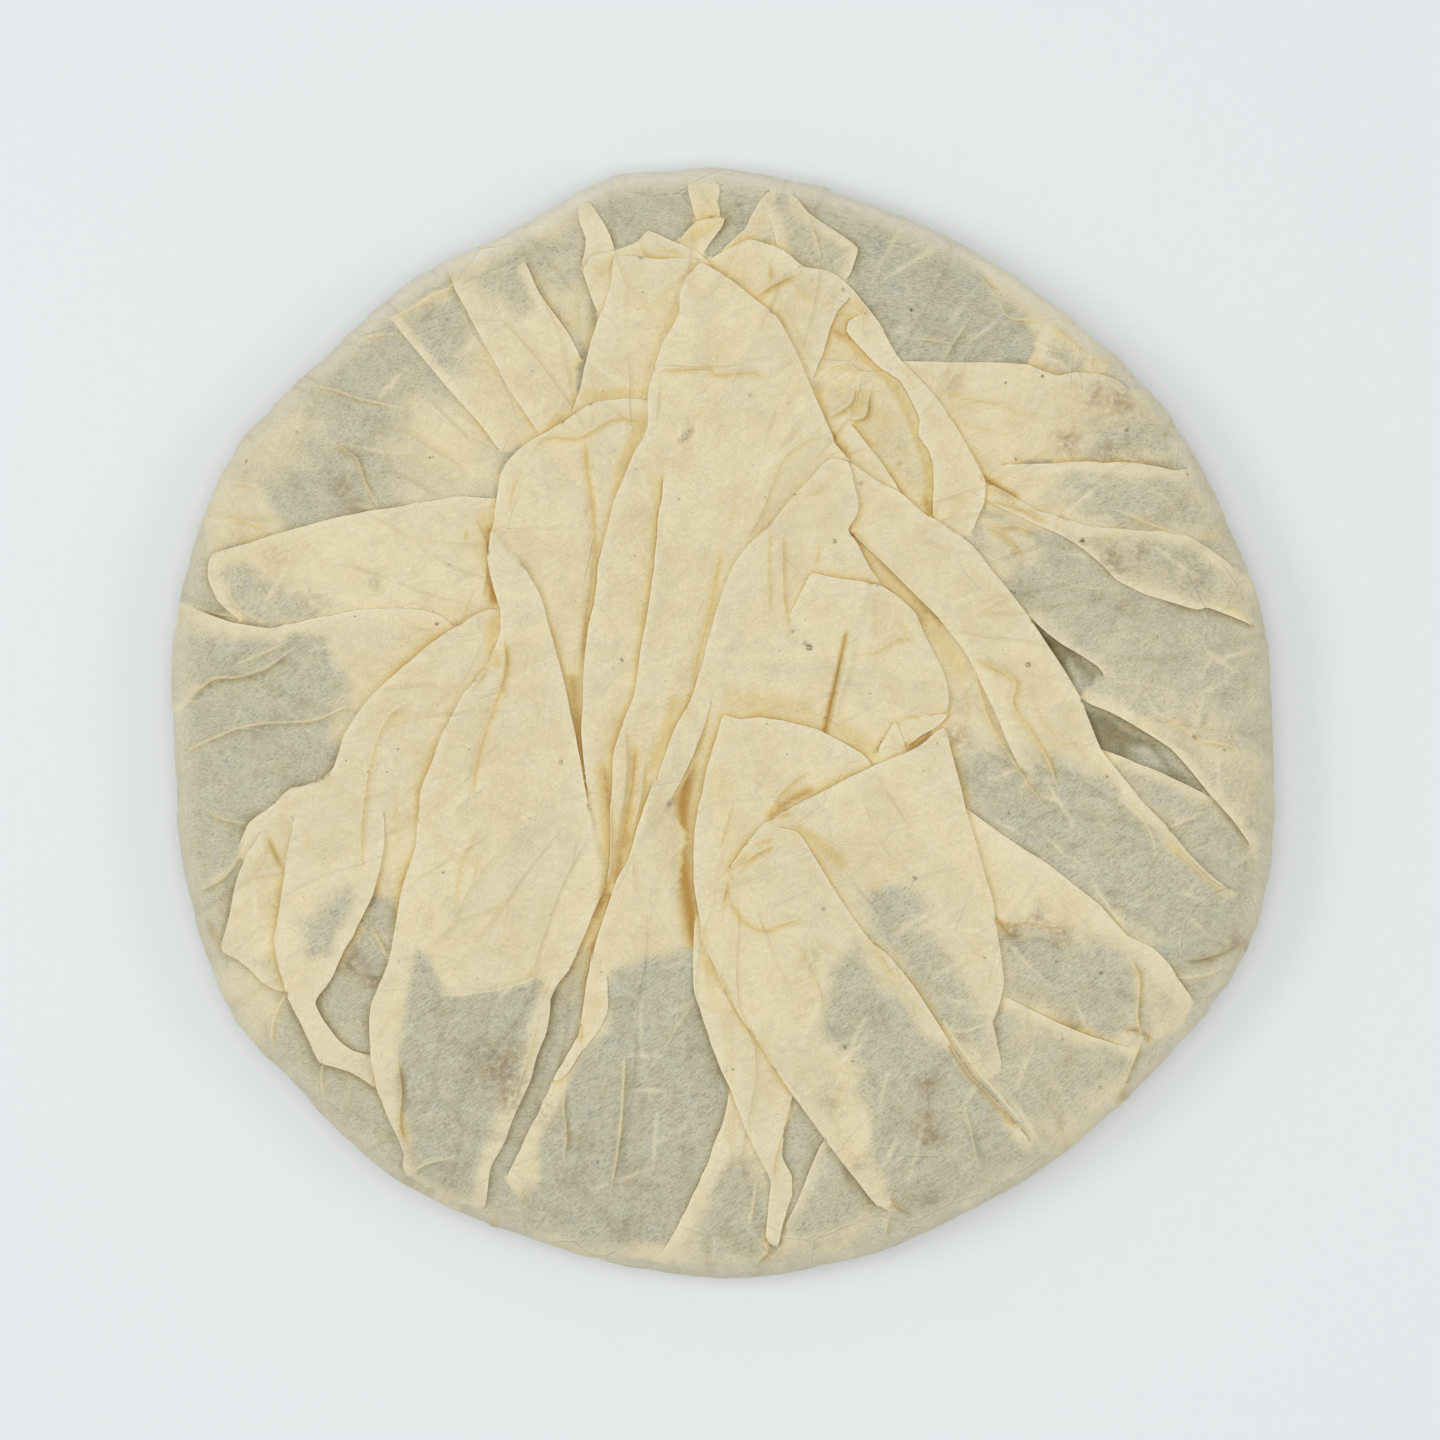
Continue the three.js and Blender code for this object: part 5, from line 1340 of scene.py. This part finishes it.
def net_over_top(rows):
    """The flat net of the upper side, with the rows, the specks and the border in it."""
    border = TOP_EDGE * rim_radius(RIM_ANGLES)
    border = np.stack([border * np.cos(RIM_ANGLES), border * np.sin(RIM_ANGLES)], 1)
    points = list(rows.places)
    points += thin_out(speck_points(), points, SPECK_GAP)
    points += thin_out([tuple(p) for p in lattice(POINT_SPACING, TOP_EDGE, 5)], points, OPEN_GAP)
    first = len(points)
    xy, faces, origins, ring = flat_net(points + list(border), rows.links + ring_edges(first), first)
    facts = np.zeros((len(xy), 4))
    for k, sources in enumerate(origins):
        in_rows = [source for source in sources if source < len(rows.facts)]
        if in_rows:
            facts[k] = rows.facts[in_rows[0]]
    return xy, faces, facts, ring


def top_sheet(paper):
    """The upper side with its lips turned under: its points, faces and colours, how its fibres
    lie, its border, and which of its points are noses."""
    rows = Rows()
    rows.add_folds(paper)
    rows.add_creases(paper)
    xy, faces, facts, ring = net_over_top(rows)
    kind, normal, value = facts[:, 0], facts[:, 1:3], facts[:, 3]

    # Where each point reads the map: beside the fold, never on it
    nose, tuck = kind == NOSE, kind == TUCK
    look = xy + normal * np.select([nose, tuck], [READ_INSIDE, READ_OUTSIDE], 0.0)[:, None]
    height = paper.sample(paper.height, *look.T)
    height -= np.where(nose, NOSE_DROP * np.clip(value, 0, 1), 0)
    under = np.clip(value * TURN_PER_STEP, 0, UNDERCUT)
    move = np.select([nose, tuck], [NOSE_OUT, under], 0.0)
    foot = xy + normal * move[:, None]
    rise = height - cake_top(*look.T)
    level = np.where(tuck, height - rise, cake_top(*foot.T))
    points = np.stack([foot[:, 0], foot[:, 1], level], 1) + base_normals(*foot.T) * rise[:, None]

    turn = paper.nearest(paper.hatch, *look.T)
    along, across = along_and_across(xy[:, 0], xy[:, 1], np.cos(turn), np.sin(turn))
    lie = np.stack([along, across, turn * LIE_PER_TURN], 1)
    colours = top_colours(paper, xy, look, kind, value)
    faces = [tuple(face) for face in faces]
    return points, faces, colours, lie, ring, nose


def top_colours(paper, xy, look, kind, value):
    """What the material reads at each point of the upper side."""
    share = share_of_radius(*xy.T)
    depth = paper.sample(paper.tint, *look.T)
    return {
        # Less tea shows through near the border: partly the paper standing off the cake, partly painted rim
        # light
        "veil": paper.sample(paper.veil, *look.T) * (1 - 0.18 * smooth_between(0.92, 0.975, share)),
        # Pale hems of doubled paper, with painted highlights along crests
        "lip": paper.sample(paper.edge, *look.T),
        # Painted shade beside folds and in creases, stronger on the row that turns under a fold
        "depth": np.where(kind == TUCK, np.clip(depth * 1.6, 0, 1), depth),
        "stain": paper.sample(paper.stain, *look.T),
        "speck": speck_field(*xy.T),
        # Painted highlight on the noses of folds, just inside them, and on the crests of creases
        "crest": np.select([kind == NOSE, kind == LIP_TOP, kind == CREST], [1.0, 0.35, value], 0.0),
        # Painted light that makes the rim paler
        "pale": painted_rim_light(np.arctan2(xy[:, 1], xy[:, 0])) * smooth_between(0.95, 0.995, share),
    }


def side_ring(k, before, here, after, rise):
    """The side's ring number k, pushed out square to the profile by its folds and flutes."""
    share, height = here
    out = before[1] - after[1]
    up = (after[0] - before[0]) * MEAN_RADIUS
    length = math.hypot(out, up) or 1
    keep = 1 - float(smooth_between(0.0, 1.0, (k - 2) / 9))
    wrinkle = rim_wrinkles(RIM_ANGLES, 0.97) * keep * 0.7
    flutes = 0.16 * soft_noise(RIM_ANGLES * 100, height, 4.2, 21) * keep
    push = rise * keep + (wrinkle * 0.5 + flutes) * float(smooth_between(-1, 5, k))
    if k >= len(UPPER_SHARES):
        push = push + 0.1 * soft_noise(RIM_ANGLES * 60, share * 90, 6, 23) * (height > 0.5)
    radius = share * rim_radius(RIM_ANGLES) + push * out / length
    z = np.maximum(height + push * up / length, 0.0)
    return np.stack([radius * np.cos(RIM_ANGLES), radius * np.sin(RIM_ANGLES), z], 1)


def side_sheet(paper, top_points, colours, ring):
    """Rings from the top sheet's border over the rim and in to the flat spot underneath."""
    profile = [(s, float(shoulder_height(np.array(s)))) for s in [TOP_EDGE] + UPPER_SHARES]
    profile += [(s, under_curve(s)) for s in LOWER_SHARES + [FLAT_SHARE]]
    border = top_points[ring, :2].T
    rise = paper.sample(paper.height, *border) - cake_top(*border)
    # Painted rim light, carried down the side
    pale = painted_rim_light(RIM_ANGLES)
    rings = []
    values = {name: [] for name in colours}
    for k, (before, here, after) in enumerate(zip(profile, profile[1:], profile[2:] + profile[-1:])):
        rings.append(side_ring(k, before, here, after, rise))
        share = float(smooth_between(0, 1, k / 7))
        base = {"veil": 0.55 if here[0] > 0.9 else UNDER_VEIL, "pale": pale}
        for name, at_border in colours.items():
            values[name].append(at_border[ring] * (1 - share) + base.get(name, 0.0) * share)
    return rings, values


def under_sheet(last_ring, ring_numbers, offset):
    """The flat spot underneath: its own points, with slight dents, and faces that end at the ring."""
    inner = lattice(UNDER_SPACING, FLAT_SHARE - 0.01, 6)
    xy, faces, _, ring = flat_net(list(last_ring[:, :2]) + list(inner), ring_edges(0), 0)
    numbers = dict(zip(ring.tolist(), ring_numbers.tolist()))
    extra = []
    for k in range(len(xy)):
        if k not in numbers:
            numbers[k] = offset + len(extra)
            extra.append(xy[k])
    extra = np.array(extra)
    dents = np.clip(0.25 * soft_noise(extra[:, 0], extra[:, 1], 14, 24) - 0.05, 0, 1)
    points = np.stack([extra[:, 0], extra[:, 1], dents], 1)
    return points, [tuple(numbers[i] for i in reversed(face)) for face in faces]


def mark_noses_sharp(mesh, is_nose):
    """Breaks the smooth shading along the nose of every fold."""
    ends = np.zeros(len(mesh.edges) * 2, int)
    mesh.edges.foreach_get("vertices", ends)
    top = np.zeros(len(mesh.vertices), bool)
    top[:len(is_nose)] = is_nose
    layer = mesh.attributes.new("sharp_edge", "BOOLEAN", "EDGE")
    layer.data.foreach_set("value", top[ends.reshape(-1, 2)].all(axis=1))
    mesh.update()


def store(mesh, name, parts, kind="FLOAT", key="value"):
    """Values for every point, for the material to read."""
    layer = mesh.attributes.new(name, kind, "POINT")
    layer.data.foreach_set(key, np.concatenate(parts).astype(np.float32).ravel())


def build_wrapper(paper, material):
    """The paper as one closed mesh: the upper side, the rings of the side and the flat spot."""
    top_points, faces, colours, top_lie, ring, is_nose = top_sheet(paper)
    rings, side_values = side_sheet(paper, top_points, colours, ring)
    points = [top_points] + rings
    lies = [top_lie]
    offset = len(top_points)
    steps = np.arange(RIM_POINTS)
    for k, side in enumerate(rings):
        here = offset + steps
        faces += [(ring[i], here[i], here[j], ring[j]) for i, j in enumerate(np.roll(steps, -1))]
        across = side[:, 2] + LIE_PER_RING * k
        lies.append(np.stack([RIM_ANGLES * MEAN_RADIUS, across, np.full(RIM_POINTS, SIDE_LIE)], 1))
        ring = here
        offset += RIM_POINTS
    under_points, under_faces = under_sheet(rings[-1], ring, offset)
    points.append(under_points)
    apart = np.full(len(under_points), UNDER_LIE)
    lies.append(np.stack([under_points[:, 0], under_points[:, 1], apart], 1))

    mesh = bpy.data.meshes.new("cotton_wrapper")
    mesh.from_pydata((np.vstack(points) * MM).tolist(), [], faces + under_faces)
    for name, values in colours.items():
        under_value = UNDER_VEIL if name == "veil" else 0.0
        store(mesh, name, [values] + side_values[name] + [np.full(len(under_points), under_value)])
    store(mesh, "fibre_lie", lies, "FLOAT_VECTOR", "vector")
    mesh.shade_smooth()
    mesh.validate()
    mark_noses_sharp(mesh, is_nose)
    wrapper = bpy.data.objects.new("cotton_wrapper", mesh)
    bpy.context.scene.collection.objects.link(wrapper)
    mesh.materials.append(material)
    return wrapper


def shown(red, green, blue):
    """A colour given as it shows on screen, 0 to 255, in the linear values that shaders use."""
    return tuple(((c / 255 + 0.055) / 1.055) ** 2.4 for c in (red, green, blue)) + (1.0,)


class Nodes:
    """Short ways to add the nodes of one material."""

    def __init__(self, material):
        material.use_nodes = True
        self.tree = material.node_tree
        self.tree.nodes.clear()

    def link(self, value, socket):
        if hasattr(value, "is_output"):
            self.tree.links.new(value, socket)
        else:
            socket.default_value = value

    def add(self, kind, inputs, output=0, **settings):
        """A node with its settings, its inputs by name or number, and the output that is asked for."""
        node = self.tree.nodes.new("ShaderNode" + kind)
        for name, value in settings.items():
            setattr(node, name, value)
        for key, value in inputs.items():
            self.link(value, node.inputs[key])
        return node.outputs[output] if node.outputs else None

    def math(self, operation, a, b, clamp=False):
        return self.add("Math", {0: a, 1: b}, operation=operation, use_clamp=clamp)

    def times(self, a, b):
        return self.math("MULTIPLY", a, b)

    def plus(self, a, b):
        return self.math("ADD", a, b)

    def centred(self, value, middle, strength):
        """The value's distance from its middle, with a strength."""
        return self.times(self.math("SUBTRACT", value, middle), strength)

    def mix(self, factor, a, b, blend="MIX"):
        return self.add("Mix", {0: factor, 6: a, 7: b}, 2, data_type="RGBA", blend_type=blend)

    def coats(self, colour, *coats, blend="MIX"):
        """A colour with others laid over it, each by its own mask."""
        for mask, coat in coats:
            colour = self.mix(mask, colour, coat, blend)
        return colour

    def ramp(self, value, low, high, start=0.0, end=1.0):
        inputs = dict(enumerate((value, low, high, start, end)))
        return self.add("MapRange", inputs, interpolation_type="SMOOTHSTEP")

    def attribute(self, name, output="Fac"):
        return self.add("Attribute", {}, output, attribute_name=name)

    def vector(self, operation, a, *b):
        output = 1 if operation == "LENGTH" else 0
        return self.add("VectorMath", dict(enumerate((a, *b))), output, operation=operation)

    def shift(self, place, by):
        return self.vector("ADD", place, by)

    def scale(self, place, by):
        return self.vector("MULTIPLY", place, by)

    def turned(self, vector, angle, lengths):
        inputs = {"Vector": vector, "Rotation": (0, 0, math.radians(angle)), "Scale": lengths}
        return self.add("Mapping", inputs, vector_type="TEXTURE")

    def cells(self, vector, feature, output):
        return self.add("TexVoronoi", {"Vector": vector, "Scale": 1.0}, output, feature=feature)

    def noise(self, vector, scale, detail=2.0, rough=0.5, output=0):
        inputs = {"Vector": vector, "Scale": scale, "Detail": detail, "Roughness": rough,
                  "Distortion": 0.0}
        return self.add("TexNoise", inputs, output)

    def streaks(self, place, angle, length, width, low, high):
        """Long thin marks lying one way, as values from 0 to 1."""
        lying = self.turned(place, angle, (length, width, 1))
        return self.ramp(self.noise(lying, 1.0, 1.5, 0.6), low, high)

    def swayed(self, place, scale, reach):
        """Places pushed about by a broad noise, for lines that don't run quite straight."""
        return self.shift(place, self.scale(self.noise(place, scale, 1, output=1), reach))

    def creases(self, field, width, mask, low, high):
        """Straight creases between flat facets, which come in as the mask goes from low to high."""
        near = self.ramp(self.cells(field, "DISTANCE_TO_EDGE", "Distance"), 0.0, width, 1.0, 0.0)
        return self.times(near, self.ramp(mask, low, high))

    def fanned(self, place, pole, turns, length):
        """Places told by the turn round a pole and the way out from it, and that way out."""
        out = self.vector("SUBTRACT", place, pole)
        round_it = self.scale(self.vector("NORMALIZE", self.scale(out, (1, 1, 0))), (turns, turns, 0))
        away = self.vector("LENGTH", out)
        share = self.math("DIVIDE", away, length)
        lift = self.scale(self.add("CombineXYZ", {0: share, 1: share, 2: share}), (0, 0, 1))
        return self.shift(round_it, lift), away

    def surface(self, **sockets):
        """The material's shader, with a value or a socket for each of its named inputs."""
        inputs = {name.replace("_", " "): value for name, value in sockets.items()}
        shader = self.add("BsdfPrincipled", inputs)
        self.add("OutputMaterial", {"Surface": shader})


# Colours as they show in even light
CREAM = shown(235, 221, 181)
CREAM_WARM = shown(229, 212, 169)
CREAM_PALE = shown(246, 235, 203)
CREAM_DULL = shown(214, 203, 171)
TEA_GREY = shown(196, 193, 170)
TEA_DARK = shown(138, 135, 116)
TEA_PALE = shown(222, 218, 193)
TEA_WARM = shown(193, 183, 152)
DEEP_SHADE = shown(200, 194, 174)
YELLOW_SHADE = shown(248, 237, 205)
OCHRE_SHADE = shown(206, 173, 114)
GREY_SHADE = shown(226, 220, 203)
BROWN_SHADE = shown(176, 158, 132)
BROWN = shown(150, 126, 90)
PAINTED_RIM_COLOUR = shown(241, 234, 212)
SPECK = shown(84, 64, 44)
FLOOR_TONES = shown(234, 238, 239), shown(236, 240, 241)


def paper_fields(n):
    """The masks of fibres, creases and blotches that the paper is mixed from."""
    place = n.scale(n.add("TexCoord", {}, "Object"), (1000, 1000, 1000))
    lie = n.attribute("fibre_lie", "Vector")
    bent = n.swayed(place, 0.16, (2.6, 2.6, 2.6))
    fibres = n.streaks(bent, 24, 5.0, 0.17, 0.56, 0.72)
    fibres = n.math("MAXIMUM", fibres, n.streaks(bent, 76, 4.0, 0.17, 0.58, 0.74))
    swayed = n.swayed(place, 0.025, (12, 12, 0))
    fan, away = n.fanned(swayed, (0, 20, 0), 7.0, 26.0)
    mask = n.noise(n.shift(place, (3, 21, 0)), 0.06, 1)
    short_crease = n.creases(n.turned(swayed, 30, (16, 11, 9)), 0.035, mask, 0.52, 0.4)
    veil = n.attribute("veil")
    return SimpleNamespace(
        place=place,
        veil=veil,
        lip=n.attribute("lip"),
        depth=n.attribute("depth"),
        fibres=n.math("MAXIMUM", fibres, n.streaks(bent, -33, 4.5, 0.18, 0.58, 0.74)),
        hatch=n.streaks(lie, 0, 1.2, 0.16, 0.38, 0.62),
        shreds=n.streaks(n.shift(lie, (17, 3, 0)), 9, 0.6, 0.2, 0.5, 0.66),
        grains=n.ramp(n.noise(n.shift(place, (5, 11, 0)), 1.9, 1, 0.5), 0.52, 0.68),
        long_crease=n.creases(fan, 0.05, n.times(mask, n.ramp(away, 30, 55)), 0.38, 0.56),
        short_crease=n.times(short_crease, n.ramp(veil, 0.9, 1.2, 1.0, 0.0)),
        tone=n.noise(n.scale(n.cells(fan, "F1", "Color"), (9, 9, 9)), 1.0, 0),
        cloudy=n.noise(place, 0.11, 3, 0.6),
        patchy=n.noise(n.shift(place, (9, 4, 0)), 0.24, 3, 0.6),
        fine=n.noise(place, 1.5, 3, 0.65),
        tooth=n.noise(place, 4.2, 2, 0.6),
    )


def layered_paper(n, f):
    """Paper in several layers, cream with paler fibres and duller facets."""
    return n.coats(
        CREAM,
        (n.ramp(f.cloudy, 0.38, 0.68), CREAM_WARM),
        (n.ramp(f.patchy, 0.52, 0.78, 0.0, 0.5), CREAM_DULL),
        (n.ramp(f.fine, 0.4, 0.75, 0.0, 0.4), CREAM_PALE),
        (n.ramp(f.tooth, 0.55, 0.75, 0.0, 0.3), CREAM_DULL),
        (n.times(f.fibres, 0.22), CREAM_PALE),
        (n.ramp(f.tone, 0.35, 0.65, 0.0, 0.22), CREAM_DULL))


def single_paper(n, f):
    """One layer on the dark tea, grey-green, with dark shreds and pale fibres, and painted shade in the deep
    gaps.
    """
    tea = n.coats(
        TEA_GREY,
        (n.ramp(f.patchy, 0.36, 0.62), TEA_WARM),
        (n.ramp(n.noise(f.place, 0.5, 3, 0.65), 0.46, 0.7, 0, 0.45), TEA_DARK),
        (n.times(f.shreds, 0.45), TEA_DARK),
        (n.times(f.grains, 0.4), TEA_DARK),
        (n.times(f.hatch, 0.5), TEA_PALE),
        (n.times(f.fibres, 0.5), TEA_PALE))
    # Where the veil goes above 1, painted shade darkens the tea in the deep gaps between leaves
    return n.mix(n.ramp(f.veil, 0.95, 1.6), tea, DEEP_SHADE, "MULTIPLY")


def thinness(n, f):
    """Where a single layer lies. Its border breaks up into short streaks."""
    ragged = n.centred(n.noise(f.place, 0.22, 3, 0.6), 0.5, 0.8)
    flecks = n.centred(f.shreds, 0.35, 0.22)
    grit = n.centred(f.fine, 0.5, 0.4)
    seen = n.times(f.veil, n.math("SUBTRACT", 1.0, f.lip, clamp=True))
    return n.ramp(n.plus(n.plus(seen, ragged), n.plus(flecks, grit)), 0.02, 1.0)


def paper_colour(n, f):
    """The paper with its hems, stains and specks, painted shade in its folds and creases, painted highlights
    on crests and a painted pale rim.
    """
    thin = thinness(n, f)
    colour = n.mix(thin, layered_paper(n, f), single_paper(n, f))
    blot = n.times(n.attribute("stain"), n.ramp(n.noise(f.place, 0.8, 4, 0.65), 0.3, 0.62))
    # Paler hems of doubled paper, with painted highlights along crests, and brown stains
    colour = n.coats(colour, (n.times(f.lip, 0.3), CREAM_PALE), (n.times(blot, 0.75), BROWN))
    # Painted shade: yellow where shallow, ochre to brown where deep, and along the long creases
    shallow = n.mix(thin, YELLOW_SHADE, GREY_SHADE)
    deep = n.mix(thin, OCHRE_SHADE, BROWN_SHADE)
    colour = n.coats(
        colour,
        (n.ramp(f.depth, 0.0, 0.5), shallow),
        (n.ramp(f.depth, 0.35, 1.3), deep),
        (n.times(f.long_crease, 0.3), shallow), blend="MULTIPLY")
    dust = n.ramp(n.noise(n.shift(f.place, (31, 7, 0)), 1.25, 0.5), 0.81, 0.84)
    spots = n.times(n.attribute("speck"), n.ramp(n.noise(f.place, 3.1, 2, 0.6), 0.4, 0.54, 0.1, 1.0))
    # Painted highlights along the short creases and the crests, the painted pale rim, then dark specks and
    # dust
    return n.coats(
        colour,
        (n.times(f.short_crease, 0.16), CREAM_PALE),
        (n.attribute("pale"), PAINTED_RIM_COLOUR),
        (n.times(n.attribute("crest"), 0.65), CREAM_PALE),
        (n.times(n.math("MAXIMUM", spots, n.times(dust, 0.6)), 0.85), SPECK))


def paper_relief(n, f):
    """The raised fibres and grain, and the pressed and raised creases, as a bump."""
    relief = n.plus(n.times(f.fibres, 0.5), n.times(f.fine, 0.8))
    relief = n.plus(relief, n.times(f.long_crease, -2.0))
    relief = n.plus(relief, n.times(f.short_crease, 1.6))
    return n.add("Bump", {"Strength": 0.6, "Distance": 0.0002, "Height": relief})


def paper_material():
    """Thin cotton paper: cream in several layers, grey-green where the tea shows through one."""
    material = bpy.data.materials.new("cotton_paper")
    n = Nodes(material)
    f = paper_fields(n)
    n.surface(Base_Color=paper_colour(n, f), Roughness=n.ramp(f.fibres, 0, 1, 0.93, 0.8),
              Specular_IOR_Level=0.25, Sheen_Weight=0.16, Sheen_Roughness=0.45, Normal=paper_relief(n, f))
    return material


def floor_material():
    material = bpy.data.materials.new("pale_sweep")
    n = Nodes(material)
    tone = n.mix(n.noise(n.add("TexCoord", {}, "Object"), 2.5, 2), *FLOOR_TONES)
    n.surface(Base_Color=tone, Roughness=0.9)
    return material


# The studio, in metres and watts: how far the floor reaches and how little it lies below the
# cake, the round softboxes by name, place, size and power, and the light from all round
FLOOR_HALF = 3.0
FLOOR_BELOW = -0.0001
SOFTBOXES = [
    ("overhead", (-0.03, 0.0, 1.7), 1.0, 9.3),
    ("left", (-1.05, 0.05, 1.15), 0.6, 3.9),
    ("right", (1.1, 0.0, 1.1), 0.7, 2.4),
]
SKY_COLOUR = (0.97, 0.99, 1.0, 1.0)
SKY_STRENGTH = 0.47


def build_floor():
    corners = [(x, y, FLOOR_BELOW) for x, y in ((-1, -1), (1, -1), (1, 1), (-1, 1))]
    mesh = bpy.data.meshes.new("floor")
    mesh.from_pydata([(x * FLOOR_HALF, y * FLOOR_HALF, z) for x, y, z in corners], [], [(0, 1, 2, 3)])
    mesh.materials.append(floor_material())
    floor = bpy.data.objects.new("floor", mesh)
    bpy.context.scene.collection.objects.link(floor)


# The photograph's frame at the height of the folds, and where its middle lies, in millimetres
VIEW_WIDTH = 266.7
VIEW_HEIGHT = 22.0
VIEW_CENTRE = (-0.56, 0.56)
LENS = 135.0
SENSOR = 36.0
FARTHEST = 20.0         # what the camera still sees, in metres


def build_camera():
    data = bpy.data.cameras.new("camera")
    data.lens = LENS
    data.sensor_width = SENSOR
    data.clip_end = FARTHEST
    camera = bpy.data.objects.new("camera", data)
    distance = VIEW_WIDTH * LENS / SENSOR
    camera.location = (VIEW_CENTRE[0] * MM, VIEW_CENTRE[1] * MM, (VIEW_HEIGHT + distance) * MM)
    bpy.context.scene.collection.objects.link(camera)
    bpy.context.scene.camera = camera


def light_the_scene():
    for name, place, size, power in SOFTBOXES:
        data = bpy.data.lights.new(name, "AREA")
        data.shape = "DISK"
        data.size = size
        data.energy = power
        light = bpy.data.objects.new(name, data)
        light.location = place
        light.rotation_euler = (-Vector(place)).to_track_quat("-Z", "Y").to_euler()
        bpy.context.scene.collection.objects.link(light)
    world = bpy.data.worlds.new("studio")
    world.use_nodes = True
    background = world.node_tree.nodes["Background"]
    background.inputs["Color"].default_value = SKY_COLOUR
    background.inputs["Strength"].default_value = SKY_STRENGTH
    bpy.context.scene.world = world


bpy.context.scene.view_settings.view_transform = "Standard"
build_camera()
build_floor()
light_the_scene()
wrapper = build_wrapper(lay_the_paper(), paper_material())
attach(wrapper, "root")
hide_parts(NODE)
